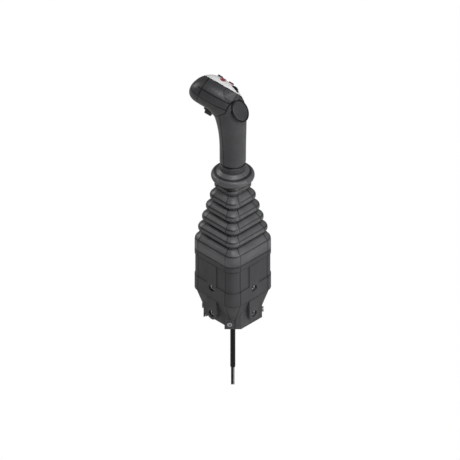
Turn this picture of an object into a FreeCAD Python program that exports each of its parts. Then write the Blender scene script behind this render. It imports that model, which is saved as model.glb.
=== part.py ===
import FreeCAD, Part
import math
import os

V = FreeCAD.Vector
UP = V(0, 0, 1)
ORIGIN = V(0, 0, 0)

# Housing, with Z = 0 at its bottom rim
housing_half = 45.0
corner_radius = 16.5
wall = 3.5
recess_depth = 1.0
rim_relief = 0.5
rim_band = 10.0
bar_width = 20.0
boss_radius = 9.7
rim_top = 120.2
crossbar_top = 72.4
crossbar_bottom = 47.8
taper_end = 30.0
lower_half = 39.5
chamfer_distance = 43.5
cable_side_lift = 7.5
cable_side_half = 22.0

# Threaded inserts in the four sides
upper_insert_z = 66.3
insert_spacing = 46.3
insert_radius = 4.1
insert_length = 10.0
thread_radius = 2.5
counterbore_radius = 5.5
counterbore_depth = 3.0
insert_boss_radius = 7.5

# Bottom cover, its corner lugs and the cable
cover_thickness = 1.5
lug_width = 14.6
lug_height = 17.5
lug_offset = -4.8
lug_screw_z = 9.5
lug_screw_head_radius = 4.0
lug_screw_head_height = 2.2
lug_screw_radius = 1.9
lug_screw_length = 8.5
lug_boss_radius = 4.5
lug_boss_depth = 6.0
socket_radius = 1.6
socket_depth = 1.2
cover_notch_half = 20.0
cover_cutback = 31.0
cable_radius = 3.85
cable_length = 85.7
core_radius = 1.25
core_length = 32.7
gland_low = -12.0
gland_top = 8.0
gland_neck_radius = 6.5
gland_flange = 2.2
gland_shoulder = 3.0
gland_wall = 1.2
plug_length = 16.0
plug_width = 9.0
plug_height = 12.4

# Gimbal
pivot_drop = 10.0
tilt_limit = 18.0
carrier_thickness = 4.0
opening_inset = 18.5
ear_inset = 15.0
ear_thickness = 5.0
ear_half_width = 9.0
ring_clearance = 4.5
ring_thickness = 7.0
ring_half_height = 6.0
hub_half = 9.0
hub_half_height = 8.0
pin_radius = 3.0
bush_wall = 1.5
bush_flange_radius = 6.0
inner_flange_radius = 5.2
bush_flange = 1.0
pin_tail = 4.6
ring_corner = 2.0
hub_corner = 3.0
hub_wing_radius = 6.5
shaft_radius = 6.0
shaft_bore_radius = 3.4
shaft_drop = 28.0
shaft_socket = 29.7
wire_way_rise = 14.0
gate_thickness = 2.0
gate_lap = 3.0
post_inset = 13.5
post_radius = 8.7
carrier_screw_length = 12.0
thread_depth = 0.35
carrier_screw_radius = 2.0
carrier_screw_head_radius = 3.5
carrier_screw_head_height = 2.6
spring_wire = 0.5
spring_radius = 4.4
spring_turns = 2.25
spring_leg = 7.5
spring_peg = (2.85, -6.0)
spring_peg_radius = 1.0
spring_peg_length = 3.0
standoff_inset = 15.5
standoff_spread = 15.5
standoff_radius = 2.5
stud_radius = 1.5
board_margin = 3.5
board_thickness = 1.6
board_drop = 20.0
board_screw_radius = 1.25
board_screw_head_radius = 2.6
board_screw_head_height = 1.8
board_screw_length = 5.0
slot_half = 0.5

magnet_radius = 4.0
magnet_height = 4.0
magnet_cup_radius = 8.0
magnet_cup_height = 10.0

# Parts on the sensor board: corner x and y, length, width, height
board_parts = [
    (-3.5, -3.5, 7.0, 7.0, 1.4),
    (12.0, -18.0, 8.0, 4.0, 1.6),
    (12.0, -11.5, 8.0, 4.0, 1.6),
    (12.0, -5.0, 8.0, 4.0, 1.6),
    (-22.0, -8.0, 8.0, 16.0, 5.0),
]

# Gaiter, from the square skirt up to the round collar
gaiter_wall = 2.2
gaiter_lip_height = 6.0
lip_clearance = 0.2
lip_fit = 0.1
rim_bevel = 0.7
crown_bevel = 1.0
top_corner_growth = 2.0
top_shoulder = 4.0
frame_thickness = 1.6
fold_count = 5
fold_step = 4.1
skirt_height = 14.4
fold_pitch = 19.35
rim_height = 6.2
rim_flat_share = 0.55
skirt_rim_height = 3.8
valley_inset = 8.9
web_rise = 5.3
rim_corner = 14.9
valley_corner = 9.1
top_fold_step = 5.9
top_fold_lift = 1.15
top_rim_height = 5.0
collar_radius = 32.6
collar_tube = 6.3
collar_rise = 18.3
collar_crease_radius = 26.3
collar_crease_rise = 7.3
neck_radius = 19.1
neck_rise = 30.2
neck_height = 9.6
groove_radius = 16.4
groove_height = 4.0

# Grip, in its own frame: +X to the operator's palm, then turned about Z
grip_yaw = 15.7
head_rise = 15.1
grip_wall = 2.6
column_radius = 19.1
head_axis_rise = 102.7
head_half_width = 25.6
head_half_height = 24.0
cap_joint = -45.5
face_roll = 43.0
face_offset = 16.3
face_gap = 0.3
hood_joint = 0.5
crotch_x = -28.0
crotch_drop = 23.0
crotch_climb = 35.0
split_low = -4.8
split_high = -9.0
seam_gap = 0.3
elbow_face_rise = 37.6
elbow_face_x = 13.6
elbow_face_y = -3.0
elbow_face_drop = 6.4
elbow_cap_radius = 15.2
elbow_cap_height = 1.6
elbow_edge = 1.0
elbow_ring_width = 2.2
elbow_ring_height = 1.2
elbow_seat_depth = 1.4
socket_sleeve_radius = 11.0
socket_flange = 4.0
socket_relief = 2.0
grip_screw_radius = 1.6
grip_screw_head_radius = 3.0
grip_screw_head_height = 2.0
grip_screw_rises = [37.7, 61.7]
grip_screw_y = 8.5
grip_screw_reach = 12.0
grip_screw_tip = 4.0
grip_boss_radius = 4.2

# Sections of the handle: centre x, rise above its foot, tilt, half height, half width
handle_sections = [
    (0.0, 28.7, 0.0, 19.3, 19.2),
    (-0.6, 51.7, 2.0, 20.4, 19.9),
    (-2.6, 74.7, 9.0, 22.5, 22.0),
    (-5.6, 91.3, 34.0, 25.4, 22.9),
    (-14.8, 102.6, 56.0, 25.6, 24.6),
]

# Sections of the head: place along X, less height, less width, droop below its axis
head_sections = [
    (-26.0, 0.0, 0.0, 0.0),
    (-43.0, 0.8, 0.7, 0.3),
    (-53.5, 3.9, 3.6, 2.6),
    (-61.0, 9.4, 9.6, 5.0),
    (-65.0, 16.0, 17.0, 7.0),
]

# Controls on the grip
button_radius = 4.3
button_travel = 1.5
button_proud = 2.4
button_edge = 0.9
button_places = [(-37.0, -4.0), (-28.5, 6.5), (-18.5, -5.5)]
button_clearance = 0.3
roller_place = (-8.5, 3.0)
roller_radius = 8.0
roller_width = 6.0
roller_turn = 30.0
roller_proud = 2.6
groove_size = 0.7
groove_count = 18
axle_radius = 1.5
trigger_place = -29.2
trigger_length = 11.6
trigger_half_width = 9.0
trigger_proud = 12.0
trigger_travel = 2.5
trigger_bezel_length = 16.0
trigger_bezel_half_width = 11.0
trigger_bezel_depth = 4.0
trigger_bezel_corner = 2.5
trigger_flange_sink = 3.0
sleeve_wall = 1.0
sleeve_depth = 12.0
trigger_room = 5.0
trigger_switch_height = 7.0
stem_radius = 1.5
stem_reach = 6.0
button_foot_drop = 4.0
switch_gap = 1.9
switch_size = 7.0
control_board_drop = 10.7
control_board_place = -30.0
control_board_length = 26.0
control_board_width = 27.0
hood_post_places = [(-40.0, 9.0), (-40.0, -10.6), (-20.5, 9.0)]
hood_post_radius = 2.2
board_pin_radius = 1.0
foot_width = 5.0
foot_thickness = 1.5
cheek_length = 8.0
cheek_thickness = 2.0
cheek_above = 2.4
cheek_below = 5.0

# Clearances
running = 0.05
seat = 0.02
gap = 0.3
slack = 0.2

# Cutting blocks: how far they pass a face, and their full size
past = 1.0
cutter = 400.0

# Places that follow from the sizes above
recess_top = rim_top - rim_band
carrier_bottom = rim_top - gaiter_lip_height - lip_clearance - carrier_thickness
carrier_top = carrier_bottom + carrier_thickness
pivot_z = carrier_bottom - pivot_drop
shaft_bottom = pivot_z - shaft_drop
board_top = shaft_bottom - board_drop
first_fold_z = rim_top + skirt_height
top_fold_z = first_fold_z + fold_pitch * fold_count + top_fold_lift
collar_z = top_fold_z + collar_rise
collar_crease_z = collar_z + collar_crease_rise
neck_low = top_fold_z + neck_rise
neck_top = neck_low + neck_height
grip_low = neck_top + groove_height
shaft_top = grip_low + shaft_socket
head_axis_z = grip_low + head_axis_rise
crotch_z = head_axis_z - crotch_drop
elbow_face_z = head_axis_z - elbow_face_drop
grip_screw_heights = [grip_low + rise_above for rise_above in grip_screw_rises]
fold_halves = [housing_half - fold_step * k for k in range(fold_count)]
top_fold_half = fold_halves[-1] - top_fold_step
rim_inner_half = housing_half - recess_depth - wall + rim_relief
post_place = housing_half - post_inset
carrier_opening_half = housing_half - opening_inset
ear_inner = housing_half - ear_inset
ear_outer = ear_inner + ear_thickness
ring_outer_half = carrier_opening_half - ring_clearance
ring_inner_half = ring_outer_half - ring_thickness
standoff_place = (housing_half - standoff_inset, post_place - standoff_spread)
board_half = standoff_place[0] + board_margin


def ray(angle, length=1.0):
    """Horizontal vector at an angle in degrees from +X."""
    a = math.radians(angle)
    return V(length * math.cos(a), length * math.sin(a), 0)


def quarter_turns(shape, count=4):
    """Copies of a shape turned about Z in equal steps."""
    copies = []
    for k in range(count):
        copy = shape.copy()
        copy.rotate(ORIGIN, UP, 360.0 / count * k)
        copies.append(copy)
    return copies


def fuse(shapes):
    return shapes[0].fuse(shapes[1:]) if len(shapes) > 1 else shapes[0]


def cut(shape, tools):
    return shape.cut(tools)


def box(low, high):
    """Box between two corners."""
    size = V(*high).sub(V(*low))
    return Part.makeBox(size.x, size.y, size.z, V(*low))


def rod(radius, start, end):
    """Cylinder between two points."""
    way = end.sub(start)
    return Part.makeCylinder(radius, way.Length, start, way)


def tube(outer, inner, start, end):
    return rod(outer, start, end).cut(rod(inner, start, end))


def turned(points):
    """Solid of revolution about Z from (radius, z) points."""
    corners = [V(r, 0, z) for r, z in points]
    face = Part.Face(Part.makePolygon(corners + corners[:1]))
    return face.revolve(ORIGIN, UP, 360)


def rounded_square(half, radius, z):
    """Wire of a square with round corners, centred on Z."""
    c = half - radius
    diagonal = c + radius * math.sqrt(0.5)
    side = Part.LineSegment(V(half, -c, z), V(half, c, z)).toShape()
    corner = Part.Arc(V(half, c, z), V(diagonal, diagonal, z), V(c, half, z)).toShape()
    edges = []
    for k in range(4):
        for edge in (side, corner):
            copy = edge.copy()
            copy.rotate(ORIGIN, UP, 90 * k)
            edges.append(copy)
    return Part.Wire(edges)


def square_stack(levels):
    """Solid through rounded squares given as (half width, corner radius, z)."""
    return Part.makeLoft([rounded_square(*level) for level in levels], True, True)


def square_plate(half, radius, low, high):
    face = Part.Face(rounded_square(half, radius, low))
    return face.extrude(V(0, 0, high - low))


def upright_edges(block):
    return [e for e in block.Edges if abs(e.tangentAt(e.FirstParameter).z) > 0.9]


def octagon_prism(half, distance, low, high):
    """Square prism with 45 degree corner planes at a distance from the axis."""
    square = box((-half, -half, low), (half, half, high))
    reach = half * 2
    corner = box((distance, -reach, low), (distance + reach, reach, high))
    corner.rotate(ORIGIN, UP, 45)
    return cut(square, quarter_turns(corner))


# Housing

lower_insert_z = upper_insert_z - insert_spacing
chamfer_inner = chamfer_distance - wall
insert_face = housing_half - counterbore_depth
insert_start = insert_face - insert_length
pilot_radius = carrier_screw_radius - thread_depth
tongue_reach = wall + 2 * past


def taper_half(z):
    """Half width of the tapered waist at a height."""
    top = housing_half - recess_depth
    slope = (top - lower_half) / (crossbar_bottom - taper_end)
    return top - slope * (crossbar_bottom - z)


def housing_outside():
    upper = square_plate(housing_half, corner_radius, crossbar_bottom, rim_top)
    band = square_plate(housing_half + past, corner_radius, crossbar_top, recess_top)
    core = square_plate(
        housing_half - recess_depth, corner_radius - recess_depth, crossbar_top, recess_top
    )
    upper = upper.cut(band.cut(core))
    waist_low = taper_end - (crossbar_bottom - taper_end)
    waist = square_stack(
        [
            (taper_half(waist_low), corner_radius, waist_low),
            (taper_half(crossbar_bottom), corner_radius, crossbar_bottom),
        ]
    )
    lower = octagon_prism(lower_half, chamfer_distance, 0, crossbar_bottom)
    inside = lower_half - wall
    bar = box(
        (inside, -bar_width / 2, lower_insert_z), (housing_half, bar_width / 2, recess_top)
    )
    boss = rod(boss_radius, V(inside, 0, lower_insert_z), V(housing_half, 0, lower_insert_z))
    return fuse([upper, waist, lower] + quarter_turns(bar) + quarter_turns(boss))


def housing_inside():
    lower = octagon_prism(lower_half - wall, chamfer_inner, -past, crossbar_bottom)
    radius = corner_radius - wall
    upper = square_stack(
        [
            (lower_half - wall, radius, taper_end),
            (taper_half(crossbar_bottom) - wall, radius, crossbar_bottom),
            (rim_inner_half, radius, crossbar_bottom + wall),
            (rim_inner_half, radius, rim_top + past),
        ]
    )
    return fuse([lower, upper])


def lug_block(thickness, low, high, extra=0.0, outward=0.0):
    """Plate on a corner plane, seen along the diagonal at -45 degrees."""
    half = lug_width / 2 + extra
    block = box(
        (chamfer_distance - thickness, lug_offset - half, low),
        (chamfer_distance + outward, lug_offset + half, high),
    )
    block.rotate(ORIGIN, UP, -45)
    return block


def lug_axis(inner, outer):
    start = V(inner, lug_offset, lug_screw_z)
    end = V(outer, lug_offset, lug_screw_z)
    return start, end


def post_point(z):
    """Point on the axis of the corner post at a height."""
    return V(post_place, post_place, z)


def housing_shell():
    body = housing_outside().cut(housing_inside())
    insert_bosses = []
    for z, inner_wall in ((upper_insert_z, housing_half), (lower_insert_z, lower_half)):
        start = V(insert_start, 0, z)
        insert_bosses.append(rod(insert_boss_radius, start, V(inner_wall - past, 0, z)))
    inside_bosses = []
    for boss in insert_bosses:
        inside_bosses += quarter_turns(boss)
    post = rod(post_radius, post_point(crossbar_top), post_point(carrier_bottom))
    lug_boss = rod(lug_boss_radius, *lug_axis(chamfer_inner - lug_boss_depth, chamfer_inner + past))
    lug_boss.rotate(ORIGIN, UP, -45)
    posts = [p.common(housing_outside()) for p in quarter_turns(post)]
    body = fuse([body] + inside_bosses + posts + quarter_turns(lug_boss))
    tools = []
    for z in (upper_insert_z, lower_insert_z):
        face = V(insert_face, 0, z)
        tools += quarter_turns(rod(counterbore_radius, face, V(housing_half + past, 0, z)))
        tools += quarter_turns(rod(insert_radius + seat, V(insert_start - past, 0, z), face))
    pilot_depth = carrier_screw_length + 2 * past
    pilot = rod(pilot_radius, post_point(carrier_bottom - pilot_depth), post_point(carrier_bottom + past))
    tools += quarter_turns(pilot)
    tools += quarter_turns(lug_block(cover_thickness + seat, -past, lug_height + seat, seat, wall))
    tools += quarter_turns(lug_block(tongue_reach, -past, cover_thickness + seat, seat))
    screw_start = chamfer_inner - lug_boss_depth - past
    screw = rod(lug_screw_radius + seat, *lug_axis(screw_start, chamfer_distance))
    screw.rotate(ORIGIN, UP, -45)
    tools += quarter_turns(screw)
    lift = box(
        (-cable_side_half, -housing_half - past, -past),
        (cable_side_half, rim_relief + wall - lower_half, cable_side_lift),
    )
    tools.append(lift)
    return cut(body, tools)


def threaded_inserts():
    inserts = []
    for z in (upper_insert_z, lower_insert_z):
        start = V(insert_start, 0, z)
        end = V(insert_face, 0, z)
        inserts += quarter_turns(tube(insert_radius, thread_radius, start, end))
    return Part.makeCompound(inserts)


def bottom_cover():
    plate = octagon_prism(lower_half - wall - gap, chamfer_inner - gap, 0, cover_thickness)
    tongues = quarter_turns(lug_block(tongue_reach, 0, cover_thickness))
    lugs = quarter_turns(lug_block(cover_thickness, 0, lug_height))
    cover = fuse([plate] + tongues + lugs)
    above = cover_thickness + past
    notch = box((-cover_notch_half, -lower_half, -past), (cover_notch_half, -cover_cutback, above))
    hole = rod(gland_neck_radius + seat, V(0, 0, -past), V(0, 0, above))
    screw = rod(lug_screw_radius + slack, *lug_axis(chamfer_inner, chamfer_distance + past))
    screw.rotate(ORIGIN, UP, -45)
    return cut(cover, [notch, hole] + quarter_turns(screw))


def lug_screws():
    head_face = chamfer_distance + lug_screw_head_height
    head = rod(lug_screw_head_radius, *lug_axis(chamfer_distance, head_face))
    shank = rod(lug_screw_radius, *lug_axis(chamfer_distance - lug_screw_length, chamfer_distance))
    socket = rod(socket_radius, *lug_axis(head_face - socket_depth, head_face + past))
    screw = head.fuse(shank).cut(socket)
    screw.rotate(ORIGIN, UP, -45)
    return Part.makeCompound(quarter_turns(screw))


def cable_gland():
    """Moulded strain relief that holds the cable in the cover."""
    flange = gland_neck_radius + gland_flange
    tip = cable_radius + gland_wall
    shoulder = (flange + gland_neck_radius + gland_wall) / 2
    return turned(
        [
            (0, gland_low),
            (tip, gland_low),
            (shoulder, -gland_shoulder),
            (flange, 0),
            (gland_neck_radius, 0),
            (gland_neck_radius, cover_thickness),
            (flange, cover_thickness),
            (shoulder, cover_thickness + gland_shoulder),
            (tip, gland_top),
            (0, gland_top),
        ]
    )


cable_end_z = gland_low - cable_length
core_reach = core_radius + 2 * running
plug_low = board_top - board_thickness - plug_height


def cable_sheath():
    return rod(cable_radius, V(0, 0, gland_low), V(0, 0, cable_end_z))


def cable_core(side):
    place = ray(45, core_reach * side)
    start = V(place.x, place.y, cable_end_z)
    return rod(core_radius, start, start.sub(V(0, 0, core_length)))


def inner_cable():
    return rod(cable_radius, V(0, 0, gland_top), V(0, 0, plug_low))


def board_plug():
    body = box(
        (-plug_length / 2, -plug_width / 2, plug_low),
        (plug_length / 2, plug_width / 2, board_top - board_thickness),
    )
    return body.makeFillet(board_thickness / 2, upright_edges(body))


# Gimbal and its base

bush_radius = pin_radius + bush_wall
outer_boss_end = ear_inner - bush_flange - slack
outer_pin_end = rim_inner_half - rim_relief - past
opening_corner = corner_radius - post_inset + gate_lap


def pin_point(x, y=0.0):
    return V(x, y, pivot_z)


def standoff_point(z):
    return V(*standoff_place, z)


def gimbal_carrier():
    low = carrier_bottom - past
    high = carrier_top + past
    plate = square_plate(rim_inner_half - gap, corner_radius - wall - gap, carrier_bottom, carrier_top)
    opening = square_plate(carrier_opening_half, opening_corner, low, high)
    strip = box((ear_inner, -ear_half_width, pivot_z), (ear_outer, ear_half_width, carrier_bottom))
    ear = strip.fuse(rod(ear_half_width, pin_point(ear_inner), pin_point(ear_outer)))
    bore = rod(bush_radius + seat, pin_point(ear_inner - past), pin_point(ear_outer + past))
    pegs = [at_pin_end(spring_peg_rod(), angle, ear_outer) for angle in (0, 180)]
    screw_hole = rod(carrier_screw_radius + slack, post_point(low), post_point(high))
    stud_hole = rod(stud_radius + running, standoff_point(low), standoff_point(high))
    holes = quarter_turns(screw_hole) + quarter_turns(stud_hole) + quarter_turns(bore, 2)
    return plate.cut(opening).fuse(quarter_turns(ear, 2) + pegs).cut(holes)


def carrier_screws():
    head_face = carrier_top + carrier_screw_head_height
    tip = carrier_bottom - carrier_screw_length
    shank = rod(pilot_radius - seat, post_point(tip), post_point(carrier_top))
    head = rod(carrier_screw_head_radius, post_point(carrier_top), post_point(head_face))
    socket = rod(socket_radius, post_point(head_face - socket_depth), post_point(head_face + past))
    return Part.makeCompound(quarter_turns(shank.fuse(head).cut(socket)))


def limit_gate():
    """Steel plate whose square hole stops the shaft at full tilt."""
    high = carrier_top + gate_thickness
    reach = (high - pivot_z) * math.tan(math.radians(tilt_limit))
    half = reach + shaft_radius / math.cos(math.radians(tilt_limit)) + gap
    plate = square_plate(carrier_opening_half + gate_lap, opening_corner, carrier_top, high)
    return plate.cut(square_plate(half, gate_lap, carrier_top - past, high + past))


def outer_bushes():
    flange_face = pin_point(ear_inner - bush_flange)
    flange = rod(bush_flange_radius, flange_face, pin_point(ear_inner))
    barrel = rod(bush_radius, pin_point(ear_inner), pin_point(ear_outer))
    bore = rod(pin_radius + running, flange_face, pin_point(ear_outer))
    return Part.makeCompound(quarter_turns(flange.fuse(barrel).cut(bore), 2))


def gimbal_ring():
    low = pivot_z - ring_half_height
    high = pivot_z + ring_half_height
    ring = square_plate(ring_outer_half, 2 * ring_corner, low, high)
    ring = ring.cut(square_plate(ring_inner_half, ring_corner, low - past, high + past))
    boss_radius_here = ring_half_height - slack
    boss = rod(boss_radius_here, pin_point(ring_outer_half - past), pin_point(outer_boss_end))
    pegs = [at_pin_end(spring_peg_rod(), angle, ring_outer_half) for angle in (90, 270)]
    ring = ring.fuse(quarter_turns(boss, 2) + pegs)
    pin_bore = rod(pin_radius + seat, pin_point(ring_inner_half - past), pin_point(outer_boss_end + past))
    bush_bore = rod(
        bush_radius + seat,
        pin_point(0, ring_inner_half - past),
        pin_point(0, ring_outer_half + past),
    )
    return ring.cut(quarter_turns(pin_bore, 2) + quarter_turns(bush_bore, 2))


def outer_pins():
    pin = rod(pin_radius, pin_point(ring_inner_half + slack), pin_point(outer_pin_end))
    pins = quarter_turns(pin, 2)
    holes = [at_pin_end(tail_hole(), angle, ear_outer) for angle in (0, 180)]
    return Part.makeCompound([pin.cut(hole) for pin, hole in zip(pins, holes)])


def inner_bushes():
    flange_face = pin_point(0, ring_inner_half - bush_flange)
    seat_face = pin_point(0, ring_inner_half)
    outer = pin_point(0, ring_outer_half)
    flange = rod(inner_flange_radius, flange_face, seat_face)
    barrel = rod(bush_radius, seat_face, outer)
    bore = rod(pin_radius + running, flange_face, outer)
    return Part.makeCompound(quarter_turns(flange.fuse(barrel).cut(bore), 2))


def cross_pin():
    end = ring_outer_half + pin_tail
    pin = rod(pin_radius, pin_point(0, -end), pin_point(0, end))
    return pin.cut([at_pin_end(tail_hole(), angle, ring_outer_half) for angle in (90, 270)])


def shaft_hub():
    """Clamp block that joins the shaft to the cross pin."""
    low = pivot_z - hub_half_height
    high = pivot_z + hub_half_height
    block = square_plate(hub_half, hub_corner, low, high)
    reach = ring_inner_half - bush_flange - slack
    block = block.fuse(rod(hub_wing_radius, pin_point(0, -reach), pin_point(0, reach)))
    bore = rod(shaft_radius + seat, V(0, 0, low - past), V(0, 0, high + past))
    pin = rod(pin_radius + seat, pin_point(0, -reach - past), pin_point(0, reach + past))
    return block.cut([bore, pin])


def main_shaft():
    shaft = rod(shaft_radius, V(0, 0, shaft_bottom), V(0, 0, shaft_top))
    way_low = pivot_z + wire_way_rise
    exit_z = way_low + shaft_bore_radius + past
    side = shaft_radius + past
    wire_way = rod(shaft_bore_radius, V(0, 0, way_low), V(0, 0, shaft_top + past))
    wire_exit = rod(shaft_bore_radius, V(0, 0, exit_z), V(side, 0, exit_z))
    pin = rod(pin_radius + seat, pin_point(0, -side), pin_point(0, side))
    return shaft.cut([wire_way, wire_exit, pin])


spring_pitch = 2 * spring_wire * 1.08
spring_height = spring_pitch * spring_turns
spring_stand = spring_wire + slack


def at_pin_end(shape, angle, reach):
    """Shape built about +Z, moved to the end of a pin that points at an angle."""
    copy = shape.copy()
    turn = FreeCAD.Rotation(UP, ray(angle + 90), ray(angle), "ZYX")
    move = FreeCAD.Placement(pin_point(0) + ray(angle, reach), turn)
    copy.Placement = move.multiply(copy.Placement)
    return copy


def spring_peg_rod():
    x, y = spring_peg
    return rod(spring_peg_radius, V(x, y, -past), V(x, y, spring_peg_length))


def torsion_spring():
    """Coil with a straight leg on a peg and an inner end held in the pin."""
    helix = Part.makeHelix(spring_pitch, spring_height, spring_radius)
    profile = Part.Wire(Part.makeCircle(spring_wire, V(spring_radius, 0, 0), V(0, 1, 0)))
    coil = Part.Wire(helix).makePipeShell([profile], True, True)
    leg = rod(spring_wire, V(spring_radius, gap, 0), V(spring_radius, -spring_leg, 0))
    end = ray(360 * spring_turns)
    level = V(0, 0, spring_height)
    tail = rod(spring_wire, end * (spring_radius + slack) + level, end * past + level)
    spring = fuse([coil, leg, tail])
    spring.translate(V(0, 0, spring_stand))
    return spring


def tail_hole():
    """Hole in a pin for the inner end of its spring."""
    end = ray(360 * spring_turns)
    level = V(0, 0, spring_stand + spring_height)
    return rod(spring_wire + seat, end * (pin_radius + past) + level, end * (past - running) + level)


def outer_springs():
    spring = torsion_spring()
    return Part.makeCompound([at_pin_end(spring, angle, ear_outer) for angle in (0, 180)])


def inner_springs():
    spring = torsion_spring()
    return Part.makeCompound([at_pin_end(spring, angle, ring_outer_half) for angle in (90, 270)])


def magnet_cup():
    low = shaft_bottom - magnet_cup_height / 2
    high = low + magnet_cup_height
    cup = rod(magnet_cup_radius, V(0, 0, low), V(0, 0, high))
    shaft_seat = rod(shaft_radius + seat, V(0, 0, shaft_bottom), V(0, 0, high + past))
    magnet_seat = rod(magnet_radius + seat, V(0, 0, low - past), V(0, 0, low + magnet_height))
    return cup.cut([shaft_seat, magnet_seat])


def sensor_magnet():
    low = shaft_bottom - magnet_cup_height / 2
    return rod(magnet_radius, V(0, 0, low), V(0, 0, low + magnet_height))


def board_standoffs():
    post = rod(standoff_radius, standoff_point(board_top), standoff_point(carrier_bottom))
    stud = rod(stud_radius, standoff_point(carrier_bottom), standoff_point(carrier_top))
    hole_top = board_top + board_screw_length + past
    hole = rod(board_screw_radius + running, standoff_point(board_top - past), standoff_point(hole_top))
    return Part.makeCompound(quarter_turns(post.fuse(stud).cut(hole)))


def sensor_board():
    low = board_top - board_thickness
    board = square_plate(board_half, board_margin, low, board_top)
    hole = rod(board_screw_radius + slack, standoff_point(low - past), standoff_point(board_top + past))
    parts = []
    for x, y, length, width, height in board_parts:
        parts.append(box((x, y, board_top), (x + length, y + width, board_top + height)))
    return board.fuse(parts).cut(quarter_turns(hole))


def board_screws():
    low = board_top - board_thickness
    head_face = low - board_screw_head_height
    head = rod(board_screw_head_radius, standoff_point(head_face), standoff_point(low))
    shank = rod(board_screw_radius, standoff_point(low), standoff_point(board_top + board_screw_length))
    slot = box((-slot_half, -board_margin, -past), (slot_half, board_margin, slot_half))
    slot.translate(standoff_point(head_face))
    return Part.makeCompound(quarter_turns(head.fuse(shank).cut(slot)))


# Gaiter

lip_half = rim_inner_half - lip_fit
lip_corner = corner_radius - wall - lip_fit
top_corner = valley_corner + top_corner_growth


def fold_z(k):
    return first_fold_z + fold_pitch * k


def ring_wall(levels, thickness=gaiter_wall):
    """Thin ring: rounded squares outside, the same squares inside less the wall."""
    inner = [(half - thickness, radius - thickness, z) for half, radius, z in levels]
    return square_stack(levels).cut(square_stack(inner))


def valley(k):
    """Half width, corner and height of the valley above fold k."""
    above = fold_z(k + 1) if k < fold_count - 1 else top_fold_z
    return fold_halves[k] - valley_inset, valley_corner, above - web_rise


def gaiter_skirt():
    half = fold_halves[0]
    shoulder = fold_z(0) + skirt_rim_height
    skirt = ring_wall(
        [
            (half, corner_radius, rim_top),
            (half, corner_radius, fold_z(0)),
            (half - rim_bevel, corner_radius - rim_bevel, shoulder),
            valley(0),
        ]
    )
    lip_low = rim_top - gaiter_lip_height
    floor_top = rim_top + gaiter_wall
    lip = ring_wall([(lip_half, lip_corner, lip_low), (lip_half, lip_corner, rim_top)])
    floor = square_plate(half - rim_relief, corner_radius - rim_relief, rim_top, floor_top)
    window = square_plate(lip_half - gaiter_wall, lip_corner - gaiter_wall, rim_top, floor_top)
    return fuse([skirt, floor.cut(window), lip])


def retaining_frame():
    """Spring steel frame that presses the gaiter's lip against the housing."""
    half = lip_half - gaiter_wall - lip_fit
    radius = lip_corner - gaiter_wall - lip_fit
    return ring_wall([(half, radius, carrier_top), (half, radius, rim_top + gaiter_wall)], frame_thickness)


def gaiter_web(k):
    """Underside of fold k, from the valley below out to the rim."""
    return ring_wall([valley(k - 1), (fold_halves[k], rim_corner, fold_z(k))])


def gaiter_crown(k):
    """Rim and sloping top of fold k, up to the valley above."""
    half = fold_halves[k]
    return ring_wall(
        [
            (half, rim_corner, fold_z(k)),
            (half, rim_corner, fold_z(k) + rim_height * rim_flat_share),
            (half - crown_bevel, rim_corner - crown_bevel, fold_z(k) + rim_height),
            valley(k),
        ]
    )


def gaiter_top_web():
    return ring_wall([valley(fold_count - 1), (top_fold_half, top_corner, top_fold_z)])


def gaiter_collar():
    """Small top fold that turns into the round rolled collar."""
    flat_top = top_fold_z + top_rim_height * rim_flat_share
    rim_high = top_fold_z + top_rim_height
    tube_centre = collar_radius - collar_tube
    outside = square_stack(
        [
            (top_fold_half, top_corner, top_fold_z),
            (top_fold_half, top_corner, flat_top),
            (top_fold_half - crown_bevel, top_corner - crown_bevel, rim_high),
            (top_fold_half - top_shoulder, valley_corner, rim_high + top_shoulder / 2),
        ]
    )
    bore = rod(shaft_radius + top_shoulder, V(0, 0, top_fold_z - past), V(0, 0, neck_low + past))
    inner = square_stack(
        [
            (top_fold_half - gaiter_wall, top_corner - gaiter_wall, top_fold_z),
            (top_fold_half - gaiter_wall, top_corner - gaiter_wall, flat_top),
            (top_fold_half - gaiter_wall - top_shoulder, valley_corner - gaiter_wall, rim_high + past),
        ]
    )
    body = turned(
        [
            (0, rim_high),
            (top_fold_half - crown_bevel, rim_high),
            (tube_centre - crown_bevel, collar_z - collar_tube * 1.15),
            (tube_centre - rim_bevel, neck_low - crown_bevel),
            (neck_radius + rim_bevel, neck_low),
            (0, neck_low),
        ]
    )
    roll = Part.makeTorus(tube_centre, collar_tube, V(0, 0, collar_z))
    shoulder = turned(
        [
            (0, collar_z),
            (tube_centre, collar_z),
            (collar_radius - collar_tube * 0.45, collar_z + collar_tube * 0.86),
            (collar_crease_radius, collar_crease_z),
            (neck_radius + rim_bevel, neck_low),
            (0, neck_low),
        ]
    )
    return fuse([outside, body, roll, shoulder]).cut([inner, bore])


def neck_ring():
    """Threaded ring on the shaft that locks the grip and seats the collar."""
    return turned(
        [
            (shaft_radius + seat, neck_low + seat),
            (neck_radius, neck_low + seat),
            (neck_radius, neck_top - rim_bevel),
            (neck_radius - rim_bevel, neck_top),
            (groove_radius, neck_top),
            (groove_radius, grip_low),
            (shaft_radius + seat, grip_low),
        ]
    )


# Grip, modelled with its head along -X, then turned by its yaw

rise = math.radians(head_rise)
head_way = V(-math.cos(rise), 0, math.sin(rise))
head_up = V(math.sin(rise), 0, math.cos(rise))
side_way = V(0, 1, 0)
roll_angle = math.radians(face_roll)
face_way = head_up * math.cos(roll_angle) + side_way * math.sin(roll_angle)
across_way = head_up * math.sin(roll_angle) - side_way * math.cos(roll_angle)
elbow_rise = math.radians(elbow_face_rise)
elbow_way = V(math.cos(elbow_rise), 0, math.sin(elbow_rise))
elbow_centre = V(elbow_face_x, elbow_face_y, elbow_face_z)
elbow_ring_outer = elbow_cap_radius + gap + elbow_ring_width


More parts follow.
